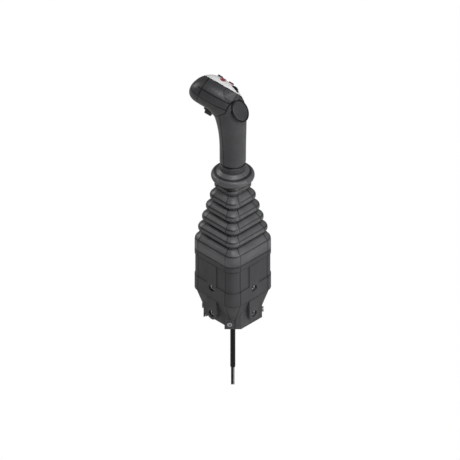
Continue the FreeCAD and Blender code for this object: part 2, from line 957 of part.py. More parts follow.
def head_point(place):
    """Point of the head's axis at a distance along X."""
    return V(place, 0, head_axis_z - math.tan(rise) * place)


def oval(centre, along, half_along, half_across, squareness=2.2):
    """Closed smooth section in the plane of one direction and the side way."""
    points = []
    count = 20
    for k in range(count):
        a = 2 * math.pi * (k / count + 0.75)
        c = math.copysign(abs(math.cos(a)) ** (2 / squareness), math.cos(a))
        s = math.copysign(abs(math.sin(a)) ** (2 / squareness), math.sin(a))
        points.append(centre + along * (half_along * c) + side_way * (half_across * s))
    curve = Part.BSplineCurve()
    curve.interpolate(points, PeriodicFlag=True)
    return curve.toShape()


def section_keys():
    """Key sections: centre x, y and z, tilt in degrees, half height and half width."""
    keys = [(0.0, 0.0, grip_low, 0.0, column_radius, column_radius)]
    for x, above, tilt, tall, wide in handle_sections:
        keys.append((x, 0.0, grip_low + above, tilt, tall, wide))
    for x, less_tall, less_wide, droop in head_sections:
        point = head_point(x) - face_way * droop
        tall = head_half_height - less_tall
        wide = head_half_width - less_wide
        keys.append((point.x, point.y, point.z, 90 - head_rise, tall, wide))
    return keys


def between(before, start, end, after, t):
    """Smooth value between two keys, guided by their neighbours."""
    slope_start = (end - before) / 2
    slope_end = (after - start) / 2
    h = end - start
    return (
        start
        + slope_start * t
        + (3 * h - 2 * slope_start - slope_end) * t ** 2
        + (slope_start + slope_end - 2 * h) * t ** 3
    )


def grip_form(inset=0.0, steps=3):
    """Solid form of the handle and head, set in by an inset."""
    keys = section_keys()
    rows = []
    for k in range(len(keys) - 1):
        before = keys[max(k - 1, 0)]
        after = keys[min(k + 2, len(keys) - 1)]
        count = steps if k >= 1 else 1
        for j in range(count):
            t = j / count
            rows.append([between(*column, t) for column in zip(before, keys[k], keys[k + 1], after)])
    rows.append(keys[-1])
    wires = []
    for k, (x, y, z, tilt, tall, wide) in enumerate(rows):
        a = math.radians(tilt)
        along = V(math.cos(a), 0, math.sin(a))
        centre = V(x, y, z)
        if inset and k == len(rows) - 1:
            centre = centre - head_way * inset
        wires.append(oval(centre, along, max(tall - inset, inset), max(wide - inset, inset)))
    faces = [Part.makeRuledSurface(low, high) for low, high in zip(wires, wires[1:])]
    faces += [Part.Face(Part.Wire(wires[0])), Part.Face(Part.Wire(wires[-1]))]
    shell = Part.makeShell(faces)
    shell.sewShape()
    form = Part.makeSolid(shell)
    if form.Volume < 0:
        form.reverse()
    return form


def slab(point, way):
    """Block that fills the side of a plane that a direction points to."""
    block = Part.makeBox(cutter, cutter, cutter, V(-cutter / 2, -cutter / 2, 0))
    block.Placement = FreeCAD.Placement(point, FreeCAD.Rotation(UP, way))
    return block


def face_slab(offset):
    return slab(head_point(0) + face_way * offset, face_way)


def head_region(shift=0.0):
    """Space of the head, ahead of the elbow joint and above the crotch."""
    ahead = slab(head_point(hood_joint) + head_way * shift, head_way)
    climb = math.radians(crotch_climb)
    over = V(-math.sin(climb), 0, math.cos(climb))
    above = slab(V(crotch_x, 0, crotch_z) + over * shift, over)
    return ahead.common(above)


def cap_region(shift=0.0):
    return slab(head_point(cap_joint) + head_way * shift, head_way)


def front_region(shift=0.0):
    """Space ahead of the joint between the two handle shells."""
    lean = math.atan2(split_low - split_high, crotch_z - grip_low)
    way = V(-math.cos(lean), 0, -math.sin(lean))
    return slab(V(split_low, 0, grip_low) + way * shift, way)


def elbow_disc(radius, low, high):
    return rod(radius, elbow_centre + elbow_way * low, elbow_centre + elbow_way * high)


def face_point(place, across, height):
    """Point over the head's axis: along the head, across the face, above the axis."""
    return head_point(place) + across_way * across + face_way * height


def face_rod(radius, place, across, low, high):
    return rod(radius, face_point(place, across, low), face_point(place, across, high))


def face_box(place, across, length, width, low, high):
    """Box square to the face, centred on a place."""
    block = box((-length / 2, -width / 2, low), (length / 2, width / 2, high))
    turn = FreeCAD.Rotation(head_way * -1, across_way * -1, face_way, "ZXY")
    block.Placement = FreeCAD.Placement(face_point(place, across, 0), turn)
    return block


def crown_height(form, place, across):
    """Height of the panel's crown above the head's axis at a place."""
    start = face_point(place, across, 0)
    inside = form.common(Part.makeLine(start, face_point(place, across, 3 * head_half_height)))
    return max(v.Point.sub(start).dot(face_way) for v in inside.Vertexes)


def trigger_block(length, half_width, low, high, radius=stem_radius):
    """Rounded block square to the head's axis, at the trigger."""
    block = box((-length / 2, -half_width, low), (length / 2, half_width, high))
    block = block.makeFillet(radius, upright_edges(block))
    block.Placement = FreeCAD.Placement(head_point(trigger_place), FreeCAD.Rotation(UP, head_up))
    return block


def trigger_rod(radius, low, high):
    start = head_point(trigger_place)
    return rod(radius, start + head_up * low, start + head_up * high)


head_bottom = -head_half_height
bezel_low = head_bottom - trigger_bezel_depth
sleeve_top = head_bottom + sleeve_depth
sleeve_length = trigger_length + 2 * gap + 2 * sleeve_wall
sleeve_half = trigger_half_width + gap + sleeve_wall
trigger_body_top = sleeve_top - trigger_room
stem_top = trigger_body_top + stem_reach + gap
below_head = head_bottom - trigger_proud - past


def trigger_flange(extra=0.0):
    """Outer block of the bezel, let into the hood."""
    return trigger_block(
        trigger_bezel_length + 2 * extra,
        trigger_bezel_half_width + extra,
        bezel_low,
        head_bottom + trigger_flange_sink + extra,
        trigger_bezel_corner + extra,
    )


def trigger_bezel():
    flange = trigger_flange()
    sleeve = trigger_block(sleeve_length, sleeve_half, bezel_low + past, sleeve_top)
    hole = trigger_block(trigger_length + 2 * gap, trigger_half_width + gap, below_head, sleeve_top + past)
    return flange.fuse(sleeve).cut(hole)


def trigger_button():
    cap = trigger_block(trigger_length, trigger_half_width, head_bottom - trigger_proud, trigger_body_top)
    return cap.fuse(trigger_rod(stem_radius, trigger_body_top, stem_top))


def trigger_switch():
    switch_top = sleeve_top + trigger_switch_height
    body = trigger_block(sleeve_length, sleeve_half, sleeve_top, switch_top, sleeve_wall)
    well_top = stem_top + trigger_travel + gap
    return body.cut(trigger_rod(stem_radius + gap, sleeve_top - past, well_top))


button_foot = face_offset - button_foot_drop
switch_top = button_foot - switch_gap
board_high = face_offset - control_board_drop
board_low = board_high - board_thickness
switch_floor = board_high + past
button_stem_low = switch_floor + button_travel + 2 * gap


def button_body(place, across, height):
    """Button cap with a stem that slides in its switch."""
    top_height = height + button_proud
    cap = face_rod(button_radius, place, across, button_foot, top_height)
    top_point = face_point(place, across, top_height)
    top = [e for e in cap.Edges if abs((e.BoundBox.Center - top_point).dot(face_way)) < seat]
    cap = cap.makeFillet(button_edge, top)
    return cap.fuse(face_rod(stem_radius, place, across, button_stem_low, button_foot))


def button_switches():
    bodies = []
    for place, across in button_places:
        body = face_box(place, across, switch_size, switch_size, board_high, switch_top)
        hole = face_rod(stem_radius + gap, place, across, switch_floor, switch_top + past)
        bodies.append(body.cut(hole))
    return Part.makeCompound(bodies)


def control_board():
    size = (control_board_length, control_board_width)
    board = face_box(control_board_place, 0, *size, board_low, board_high)
    holes = []
    for place, across in hood_post_places:
        holes.append(face_rod(board_pin_radius + lip_fit, place, across, board_low - past, board_high + past))
    return board.cut(holes)


def control_board_screws():
    screws = []
    for place, across in hood_post_places:
        head = face_rod(2 * board_pin_radius, place, across, board_low - board_screw_head_height, board_low)
        shank = face_rod(board_pin_radius, place, across, board_low, board_high + board_screw_length)
        screws.append(head.fuse(shank))
    return Part.makeCompound(screws)


def hood_posts():
    """Moulded posts under the face that carry the control board."""
    posts = []
    hole_top = board_high + board_screw_length + past
    for place, across in hood_post_places:
        post = face_rod(hood_post_radius, place, across, board_high, face_offset - past)
        hole = face_rod(board_pin_radius + seat, place, across, board_high - past, hole_top)
        posts.append(post.cut(hole))
    return posts


roller_along, roller_across = roller_place
cheek_inner = roller_width / 2 + gap
axle_reach = cheek_inner + cheek_thickness
cradle_foot = face_offset - grip_wall - seat


def roller_rod(radius, half, height):
    """Cylinder across the face, centred on the roller."""
    low = face_point(roller_along, roller_across - half, height)
    high = face_point(roller_along, roller_across + half, height)
    return rod(radius, low, high)


def roller_cradle(centre_height):
    """Bracket under the face that carries the roller's axle."""
    low = centre_height - cheek_below
    high = centre_height + cheek_above
    foot_low = cradle_foot - foot_thickness
    foot_reach = cheek_inner + cheek_thickness + foot_width / 2
    bore = roller_rod(axle_radius + running, axle_reach + past, centre_height)
    sides = []
    for side in (1, -1):
        cheek_across = roller_across + side * (cheek_inner + cheek_thickness / 2)
        cheek = face_box(roller_along, cheek_across, cheek_length, cheek_thickness, low, high)
        foot_across = roller_across + side * foot_reach
        foot = face_box(roller_along, foot_across, cheek_length, foot_width, foot_low, cradle_foot)
        sides.append(cheek.fuse(foot).cut(bore))
    return Part.makeCompound(sides)


def thumb_roller(centre_height):
    """Knurled roller with its axle ends."""
    wheel = roller_rod(roller_radius, roller_width / 2, centre_height)
    groove = roller_rod(groove_size, roller_width / 2 + past, centre_height)
    grooves = []
    for k in range(groove_count):
        a = 2 * math.pi * k / groove_count
        copy = groove.copy()
        copy.translate((head_way * math.cos(a) + face_way * math.sin(a)) * roller_radius)
        grooves.append(copy)
    axle = roller_rod(axle_radius, axle_reach - gap / 2, centre_height)
    return wheel.cut(grooves).fuse(axle)


def roller_slot(centre_height):
    return roller_rod(roller_radius + gap, cheek_inner, centre_height)


def elbow_cap():
    disc = elbow_disc(elbow_cap_radius, -elbow_seat_depth, elbow_cap_height)
    rim = [e for e in disc.Edges if (e.BoundBox.Center - elbow_centre).dot(elbow_way) > elbow_ring_height]
    return disc.makeFillet(elbow_edge, rim)


def elbow_ring():
    ring = elbow_disc(elbow_ring_outer, -elbow_seat_depth, elbow_ring_height)
    return ring.cut(elbow_disc(elbow_cap_radius + gap, -elbow_seat_depth - past, elbow_ring_height + past))


def grip_socket():
    """Metal socket that carries the grip on the shaft."""
    flange = column_radius - grip_wall - running
    high = shaft_top - socket_relief
    return turned(
        [
            (shaft_radius + seat, grip_low),
            (flange, grip_low),
            (flange, grip_low + socket_flange),
            (socket_sleeve_radius, grip_low + socket_flange + socket_relief),
            (socket_sleeve_radius, high),
            (shaft_radius + seat, high),
        ]
    )


def grip_bosses(outside, side):
    """Screw bosses between the two handle shells, on one side of the joint."""
    bosses = []
    for z in grip_screw_heights:
        lean = (split_high - split_low) * (z - grip_low) / (crotch_z - grip_low)
        face = split_low + lean + side * seam_gap
        start = V(face, grip_screw_y, z)
        boss = rod(grip_boss_radius, start, start + V(side * 2 * column_radius, 0, 0))
        bosses.append(boss.common(outside))
    return bosses


def grip_screws():
    screws = []
    for z in grip_screw_heights:
        face = V(-grip_screw_reach, grip_screw_y, z)
        head = rod(grip_screw_head_radius, face - V(grip_screw_head_height, 0, 0), face)
        screws.append(head.fuse(rod(grip_screw_radius, face, V(grip_screw_tip, grip_screw_y, z))))
    return Part.makeCompound(screws)


def grip_screw_ways():
    tools = []
    for z in grip_screw_heights:
        face = V(-grip_screw_reach, grip_screw_y, z)
        tip = V(grip_screw_tip + slack, grip_screw_y, z)
        tools.append(rod(grip_screw_head_radius + slack, face - V(2 * column_radius, 0, 0), face))
        tools.append(rod(grip_screw_radius + seat, face - V(past, 0, 0), tip))
    return tools


def turn_grip(shape):
    copy = shape.copy()
    copy.rotate(ORIGIN, UP, grip_yaw)
    return copy


def grip_nodes():
    """Every shell and control of the grip, by name."""
    outside = grip_form()
    inside = grip_form(grip_wall)
    crown = outside.common(face_slab(face_offset + face_gap))
    body = outside.cut(face_slab(face_offset)).cut(slab(elbow_centre, elbow_way))
    hollow = inside.cut(face_slab(face_offset - grip_wall))
    hollow = hollow.cut(slab(elbow_centre - elbow_way * grip_wall, elbow_way))
    skin = body.cut(hollow)
    half_gap = seam_gap / 2
    head = skin.common(head_region(half_gap))
    cap = head.common(cap_region(half_gap))
    hood = head.cut(cap_region(-half_gap))
    handle = skin.cut(head_region(-half_gap))
    front = handle.common(front_region(half_gap))
    rear = handle.cut(front_region(-half_gap))
    heights = [crown_height(crown, place, across) for place, across in button_places]
    roller_height = crown_height(crown, roller_along, roller_across) + roller_proud - roller_radius
    button_holes = []
    for (place, across), height in zip(button_places, heights):
        low = face_offset - grip_wall - past
        hole = face_rod(button_radius + button_clearance, place, across, low, height + button_proud)
        button_holes.append(hole)
    slot = roller_slot(roller_height)
    way_length = cheek_length + past
    way_width = 2 * axle_reach + past
    way_top = roller_height + cheek_above + gap
    cheek_way = face_box(roller_along, roller_across, way_length, way_width, cradle_foot - cheek_below, way_top)
    crown = crown.cut(button_holes + [slot, cheek_way])
    sleeve_way = trigger_block(sleeve_length + 2 * seat, sleeve_half + seat, below_head, 0)
    elbow_seat = elbow_disc(elbow_ring_outer + seat, -elbow_seat_depth, cheek_below)
    hood_ways = button_holes + [slot, cheek_way, sleeve_way, trigger_flange(seat), elbow_seat]
    hood = hood.fuse(hood_posts()).cut(hood_ways)
    rear = rear.fuse(grip_bosses(body, 1)).cut(grip_screw_ways() + [elbow_seat])
    front = front.fuse(grip_bosses(body, -1)).cut(grip_screw_ways())
    nodes = {
        "grip_rear_shell": rear,
        "grip_front_shell": front,
        "head_hood": hood,
        "head_end_cap": cap,
        "face_panel": crown,
        "elbow_cap": elbow_cap(),
        "elbow_ring": elbow_ring(),
        "trigger_bezel": trigger_bezel(),
        "trigger_button": trigger_button(),
        "trigger_switch": trigger_switch(),
        "control_board": control_board(),
        "control_board_screws": control_board_screws(),
        "button_switches": button_switches(),
        "roller_cradle": roller_cradle(roller_height).cut([hood, crown]),
        "thumb_roller": thumb_roller(roller_height),
        "grip_socket": grip_socket(),
        "grip_screws": grip_screws(),
    }
    button_names = ["button_front", "button_middle", "button_rear"]
    for (place, across), height, name in zip(button_places, heights, button_names):
        nodes[name] = button_body(place, across, height)
    return {name: turn_grip(shape) for name, shape in nodes.items()}


def base_nodes():
    return {
        "housing_shell": housing_shell(),
        "threaded_inserts": threaded_inserts(),
        "bottom_cover": bottom_cover(),
        "lug_screws": lug_screws(),
        "cable_gland": cable_gland(),
        "cable_sheath": cable_sheath(),
        "cable_core_black": cable_core(-1),
        "cable_core_grey": cable_core(1),
        "inner_cable": inner_cable(),
        "board_plug": board_plug(),
        "gimbal_carrier": gimbal_carrier(),
        "carrier_screws": carrier_screws(),
        "limit_gate": limit_gate(),
        "outer_bushes": outer_bushes(),
        "gimbal_ring": gimbal_ring(),
        "outer_pins": outer_pins(),
        "outer_springs": outer_springs(),
        "inner_bushes": inner_bushes(),
        "cross_pin": cross_pin(),
        "inner_springs": inner_springs(),
        "shaft_hub": shaft_hub(),
        "main_shaft": main_shaft(),
        "magnet_cup": magnet_cup(),
        "sensor_magnet": sensor_magnet(),
        "board_standoffs": board_standoffs(),
        "sensor_board": sensor_board(),
        "board_screws": board_screws(),
        "neck_ring": neck_ring(),
    }


def gaiter_nodes():
    nodes = {"gaiter_skirt": gaiter_skirt(), "retaining_frame": retaining_frame()}
    for k in range(1, fold_count):
        nodes[f"gaiter_web_{k}"] = gaiter_web(k)
        nodes[f"gaiter_crown_{k}"] = gaiter_crown(k)
    nodes["gaiter_top_web"] = gaiter_top_web()
    nodes["gaiter_collar"] = gaiter_collar()
    return nodes


def write_nodes(nodes):
    os.makedirs("parts", exist_ok=True)
    for name, shape in nodes.items():
        shape.exportStep(f"parts/{name}.step")
        count = len(shape.Solids)
        state = "valid" if shape.isValid() else "NOT VALID"
        print(f"{name:22s} {count:3d} solids {shape.Volume:10.1f} mm3 {state}")


write_nodes({**base_nodes(), **gaiter_nodes(), **grip_nodes()})
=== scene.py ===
import math

import bmesh
import bpy
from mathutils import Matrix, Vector


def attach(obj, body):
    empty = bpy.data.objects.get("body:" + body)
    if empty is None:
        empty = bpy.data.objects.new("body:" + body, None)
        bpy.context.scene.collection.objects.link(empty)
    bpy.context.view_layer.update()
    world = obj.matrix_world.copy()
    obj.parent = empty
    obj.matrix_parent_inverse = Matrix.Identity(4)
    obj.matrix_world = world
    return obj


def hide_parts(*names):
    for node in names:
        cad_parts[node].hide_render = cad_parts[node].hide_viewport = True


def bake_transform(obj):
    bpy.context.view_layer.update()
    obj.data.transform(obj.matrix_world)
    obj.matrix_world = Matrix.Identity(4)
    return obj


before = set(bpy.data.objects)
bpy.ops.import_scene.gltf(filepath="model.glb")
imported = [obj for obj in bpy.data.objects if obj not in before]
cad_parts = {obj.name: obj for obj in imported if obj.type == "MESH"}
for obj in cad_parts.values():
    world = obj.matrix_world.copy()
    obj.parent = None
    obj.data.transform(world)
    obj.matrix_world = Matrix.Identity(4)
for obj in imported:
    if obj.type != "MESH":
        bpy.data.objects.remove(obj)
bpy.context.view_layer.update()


# The cable: a round black sheath out of the housing's floor, with two insulated cores
# at its cut end. The sheath is extruded over the twisted cores and its end is cut square,
# so the cores come out of it side by side.
class Shade:
    """One shader value that takes part in arithmetic like a number."""

    def __init__(self, tree, socket):
        self.tree = tree
        self.socket = socket

    def _join(self, operation, first, second=None, third=None):
        step = self.tree.nodes.new("ShaderNodeMath")
        step.operation = operation
        for place, value in enumerate((first, second, third)):
            if isinstance(value, Shade):
                self.tree.links.new(value.socket, step.inputs[place])
            elif value is not None:
                step.inputs[place].default_value = value
        return Shade(self.tree, step.outputs[0])

    def __add__(self, other):
        return self._join("ADD", self, other)

    __radd__ = __add__

    def __sub__(self, other):
        return self._join("SUBTRACT", self, other)

    def __rsub__(self, other):
        return self._join("SUBTRACT", other, self)

    def __mul__(self, other):
        return self._join("MULTIPLY", self, other)

    __rmul__ = __mul__

    def __gt__(self, other):
        return self._join("GREATER_THAN", self, other)

    def __lt__(self, other):
        return self._join("LESS_THAN", self, other)

    def sine(self):
        return self._join("SINE", self)

    def size(self):
        return self._join("ABSOLUTE", self)

    def least(self, other):
        return self._join("MINIMUM", self, other)

    def ramp(self, low, high):
        """0 below low, 1 above high, and smooth between them."""
        step = self.tree.nodes.new("ShaderNodeMapRange")
        step.interpolation_type = "SMOOTHSTEP"
        self.tree.links.new(self.socket, step.inputs["Value"])
        step.inputs["From Min"].default_value = low
        step.inputs["From Max"].default_value = high
        return Shade(self.tree, step.outputs[0])


class Nodes:
    """A node tree that grows by one method."""

    def __init__(self, owner):
        owner.use_nodes = True
        self.tree = owner.node_tree

    def node(self, kind, settings, sockets, out=0):
        """A node of any type, with its settings made first, then its sockets."""
        made = self.tree.nodes.new(kind)
        for key, value in settings.items():
            setattr(made, key, value)
        for key, value in sockets.items():
            if isinstance(value, Shade):
                self.tree.links.new(value.socket, made.inputs[key])
            else:
                made.inputs[key].default_value = value
        return Shade(self.tree, made.outputs[out])


class Finish(Nodes):
    """A material on its way: one surface shader and what changes over the surface."""

    def __init__(self, name, **constants):
        self.material = bpy.data.materials.new(name)
        super().__init__(self.material)
        self.surface = self.tree.nodes["Principled BSDF"]
        for key, value in constants.items():
            self.surface.inputs[key.replace("_", " ")].default_value = value

    def place(self):
        """Position on the piece, in metres of the object's frame."""
        return self.node("ShaderNodeTexCoord", {}, {}, "Object")

    def along(self, axis):
        return self.node("ShaderNodeSeparateXYZ", {}, {0: self.place()}, axis)

    def noise(self, scale, detail=3.0, stretch=None):
        where = self.place()
        if stretch:
            where = self.node("ShaderNodeMapping", {}, {"Vector": where, "Scale": stretch})
        return self.node(
            "ShaderNodeTexNoise", {}, {"Vector": where, "Scale": scale, "Detail": detail}
        )

    def speckle(self, scale):
        return self.node("ShaderNodeTexVoronoi", {}, {"Vector": self.place(), "Scale": scale})

    def tint(self, share, first, second):
        """Colour between two colours, or between a colour and another tint."""
        return self.node(
            "ShaderNodeMix", {"data_type": "RGBA"}, {0: share, 6: first, 7: second}, 2
        )

    def dot(self, first, second):
        return self.node(
            "ShaderNodeVectorMath", {"operation": "DOT_PRODUCT"}, {0: first, 1: second}, "Value"
        )

    def edges(self, radius, start=0.01, full=0.16):
        """1 along an edge, 0 on flat ground, and the rounded normal."""
        rounded = self.node("ShaderNodeBevel", {"samples": 6}, {"Radius": radius})
        flat = self.node("ShaderNodeNewGeometry", {}, {}, "Normal")
        return (1 - self.dot(rounded, flat)).ramp(start, full), rounded

    def facing(self, point, way):
        """Distance past a plane through a point, along the plane's direction."""
        offset = self.node(
            "ShaderNodeVectorMath", {"operation": "SUBTRACT"}, {0: self.place(), 1: point}
        )
        return self.dot(offset, way)

    def hollow(self, distance):
        """1 deep in an inner corner, 0 on open ground."""
        open_share = self.node(
            "ShaderNodeAmbientOcclusion", {"samples": 8}, {"Distance": distance}, 1
        )
        return (1 - open_share).ramp(0.25, 0.9)

    def show(self, socket, value):
        self.tree.links.new(value.socket, self.surface.inputs[socket])

    def relief(self, height, depth, rounded=None):
        """Bump in metres, on top of a rounded normal where one is given."""
        sockets = {"Height": height, "Distance": depth, "Strength": 1.0}
        if rounded is not None:
            sockets["Normal"] = rounded
        self.show("Normal", self.node("ShaderNodeBump", {}, sockets))


def coat(names, finish):
    """Gives CAD nodes their finish."""
    for name in names:
        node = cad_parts[name]
        for slot in node.material_slots:
            slot.link = "OBJECT"
            slot.material = finish.material
        if not node.material_slots:
            node.data.materials.append(finish.material)


def hanging_cord(name, points, radius, finish, body, nodes):
    """A cord on one smooth line through the points of its route."""
    curve = bpy.data.curves.new(name, "CURVE")
    curve.dimensions = "3D"
    line = curve.splines.new("NURBS")
    line.points.add(len(points) - 1)
    for point, place in zip(line.points, points):
        point.co = (*place, 1.0)
    line.order_u = 3
    line.use_endpoint_u = True
    line.resolution_u = 12
    curve.bevel_depth = radius
    curve.bevel_resolution = 8
    curve.use_fill_caps = True
    cord = bpy.data.objects.new(name, curve)
    bpy.context.collection.objects.link(cord)
    curve.materials.append(finish.material)
    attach(cord, body)
    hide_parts(*nodes)
    return cord


sheath_top = -0.012
sheath_middle = -0.055
sheath_end = -0.0977
core_middle = -0.114
core_end = -0.1304
sheath_radius = 0.00385
core_radius = 0.00134
core_spread = 0.00133
core_offset = core_spread / math.sqrt(2)

sheath_skin = Finish("cable_sheath_black", Specular_IOR_Level=0.2)
scuffs = sheath_skin.noise(900.0, 4.0).ramp(0.5, 0.72)
sheath_tone = sheath_skin.tint(scuffs, (0.005, 0.005, 0.006, 1), (0.012, 0.012, 0.013, 1))
sheath_skin.show("Base Color", sheath_tone)
sheath_skin.show("Roughness", scuffs * 0.16 + 0.42)
lay_lines = (sheath_skin.along("Z") * 420 + sheath_skin.noise(60.0) * 3).sine()
sheath_skin.relief(lay_lines * 0.25 + sheath_skin.noise(5200.0), 0.00006)
sheath = hanging_cord(
    "cable_sheath_run",
    [(0, 0, sheath_top), (0, 0, sheath_middle), (0, 0, sheath_end)],
    sheath_radius,
    sheath_skin,
    "base",
    ["cable_sheath"],
)

core_black = Finish("core_black_insulation", Roughness=0.45, Specular_IOR_Level=0.08)
core_grey = Finish("core_grey_insulation", Roughness=0.4)
for skin, dark, light in (
    (core_black, (0.004, 0.004, 0.004, 1), (0.009, 0.009, 0.010, 1)),
    (core_grey, (0.23, 0.24, 0.255, 1), (0.28, 0.29, 0.305, 1)),
):
    skin.show("Base Color", skin.tint(skin.noise(1400.0).ramp(0.4, 0.65), dark, light))
    skin.relief(skin.noise(900.0), 0.00001)
for side, skin, node, slot in (
    (-1, core_black, "cable_core_black", "core_black"),
    (1, core_grey, "cable_core_grey", "core_grey"),
):
    spot = side * core_offset
    core = hanging_cord(
        node + "_run",
        [(spot, spot, sheath_end), (spot, spot, core_middle), (spot, spot, core_end)],
        core_radius,
        skin,
        "base",
        [node],
    )

# The strain relief: a black moulded rubber bush snapped through the cover, tapered towards
# the cable, with a fine matt skin and a little dust in its shoulder.
gland_rubber = Finish("gland_rubber")
gland_dust = gland_rubber.noise(260.0, 5.0).ramp(0.52, 0.75)
gland_tone = gland_rubber.tint(gland_dust, (0.012, 0.012, 0.013, 1), (0.032, 0.031, 0.030, 1))
gland_rubber.show("Base Color", gland_tone)
gland_rubber.show("Roughness", gland_dust * 0.2 + 0.55)
gland_rings = (gland_rubber.along("Z") * 2600).sine()
gland_rubber.relief(gland_rings * 0.3 + gland_rubber.noise(3800.0), 0.00008)
coat(["cable_gland", "inner_cable"], gland_rubber)

# The housing: one thick moulding in charcoal glass-filled nylon, with a crossbar and centre
# bars that stand 1 mm proud, round bosses over the lower inserts, a tapered waist and cut
# corners. The tool's spark-eroded skin is fine and matt. Shade is painted on it as near-black
# lines along its edges and steps and as darker inner corners, and dark lines are also painted
# where the flat sides turn into the round corners.
corner_tangent = 0.0285
crossbar_foot = 0.0478
recess_top = 0.1102
rim_foot = 0.1196

housing_nylon = Finish("housing_nylon", IOR=1.5)
grain = housing_nylon.noise(4200.0, 2.0)
flow = housing_nylon.noise(38.0, 4.0, (1.0, 1.0, 0.35))
wear_and_edge_shade, housing_round = housing_nylon.edges(0.0010, 0.006, 0.07)
rub_patchy = wear_and_edge_shade * housing_nylon.noise(140.0, 4.0).ramp(0.30, 0.62)
body_tone = housing_nylon.tint(
    flow.ramp(0.35, 0.65), (0.038, 0.039, 0.041, 1), (0.050, 0.051, 0.054, 1)
)
body_tone = housing_nylon.tint(rub_patchy * 0.15, body_tone, (0.11, 0.112, 0.115, 1))
# Painted shade: a near-black line along every edge, inner corners too.
body_tone = housing_nylon.tint(wear_and_edge_shade * 0.85, body_tone, (0.006, 0.006, 0.007, 1))
# Painted shade: inner corners and recesses are painted darker.
body_tone = housing_nylon.tint(
    housing_nylon.hollow(0.004) * 0.4, body_tone, (0.008, 0.008, 0.009, 1)
)
across_x = housing_nylon.along("X").size()
across_y = housing_nylon.along("Y").size()
housing_height = housing_nylon.along("Z")
# Painted shade: dark lines at the crossbar's foot, the recess's top and the rim's foot stand in
# for the shade of these steps; dark lines are also painted where the flat sides turn into the
# round corners.
line_gap = (across_x - corner_tangent).size().least((across_y - corner_tangent).size())
line_gap = line_gap + (across_x.least(across_y) > corner_tangent + 0.002) * 1.0
for crossing in (crossbar_foot, recess_top, rim_foot):
    line_gap = line_gap.least((housing_height - crossing).size())
step_shade_and_corner_lines = 1 - line_gap.ramp(0.0007, 0.0014)
body_tone = housing_nylon.tint(step_shade_and_corner_lines * 0.95, body_tone, (0.006, 0.006, 0.007, 1))
dust_patches = housing_nylon.noise(70.0, 5.0).ramp(0.4, 0.7)
low_dust = (1 - housing_height.ramp(0.0, 0.055)) * dust_patches
body_tone = housing_nylon.tint(low_dust * 0.35, body_tone, (0.115, 0.108, 0.10, 1))
housing_nylon.show("Base Color", body_tone)
housing_nylon.show("Roughness", grain * 0.12 + flow * 0.10 + 0.46 + rub_patchy * -0.12)
spark_skin = grain + housing_nylon.speckle(2600.0) * 0.5
housing_nylon.relief(spark_skin, 0.00009, housing_round)
coat(["housing_shell"], housing_nylon)

# The bottom cover: a flat moulded plate whose four lugs lie in pockets on the cut corners,
# each held by one pan-head screw. It comes from a plainer tool, so it is a little glossier.
cover_nylon = Finish("cover_nylon", IOR=1.5)
cover_grain = cover_nylon.noise(3000.0, 3.0)
cover_edge_shade, cover_round = cover_nylon.edges(0.0009, 0.006, 0.07)
cover_tone = cover_nylon.tint(
    cover_grain.ramp(0.3, 0.7), (0.040, 0.041, 0.043, 1), (0.054, 0.055, 0.058, 1)
)
# Painted shade: a near-black line along every edge of the cover.
cover_tone = cover_nylon.tint(cover_edge_shade * 0.85, cover_tone, (0.008, 0.008, 0.009, 1))
cover_nylon.show("Base Color", cover_tone)
cover_nylon.show("Roughness", cover_grain * 0.14 + 0.44)
cover_nylon.relief(cover_grain, 0.00006, cover_round)
coat(["bottom_cover"], cover_nylon)

# The screws: zinc-plated steel with a faint brushed grain round their heads, and shade painted
# almost black along their edges and into their sockets.
screw_zinc = Finish("screw_zinc", Metallic=1.0)
turning = screw_zinc.noise(2600.0, 2.0, (1.0, 1.0, 0.15))
painted_edge_shade, screw_round = screw_zinc.edges(0.0006, 0.006, 0.08)
zinc_tone = screw_zinc.tint(
    turning.ramp(0.3, 0.7), (0.30, 0.305, 0.32, 1), (0.42, 0.425, 0.44, 1)
)
# Painted shade: edges and sockets painted almost black.
zinc_tone = screw_zinc.tint(painted_edge_shade * 0.9, zinc_tone, (0.03, 0.03, 0.032, 1))
screw_zinc.show("Base Color", zinc_tone)
screw_zinc.show("Roughness", turning * 0.2 + 0.34)
screw_zinc.relief(turning, 0.00004, screw_round)
coat(["lug_screws", "carrier_screws", "board_standoffs"], screw_zinc)
coat(["board_screws", "control_board_screws", "grip_screws"], screw_zinc)

# The threaded inserts: nickel-plated brass, pressed into the moulding, with the thread's
# turns cut inside each bore.
thread_turns = 6283.0

insert_nickel = Finish("insert_nickel", Metallic=1.0)
out_of_bore = insert_nickel.along("X").size() + insert_nickel.along("Y").size()
thread = (out_of_bore * thread_turns).sine()
# Painted shade and light: each turn of the thread is painted darker in its groove and paler on its
# crest.
insert_tone = insert_nickel.tint(
    thread.ramp(-0.6, 0.7), (0.58, 0.575, 0.56, 1), (0.88, 0.875, 0.86, 1)
)
insert_nickel.show("Base Color", insert_tone)
insert_nickel.show("Roughness", insert_nickel.noise(2400.0) * 0.2 + 0.18)
insert_nickel.relief(thread, 0.00012)
coat(["threaded_inserts"], insert_nickel)

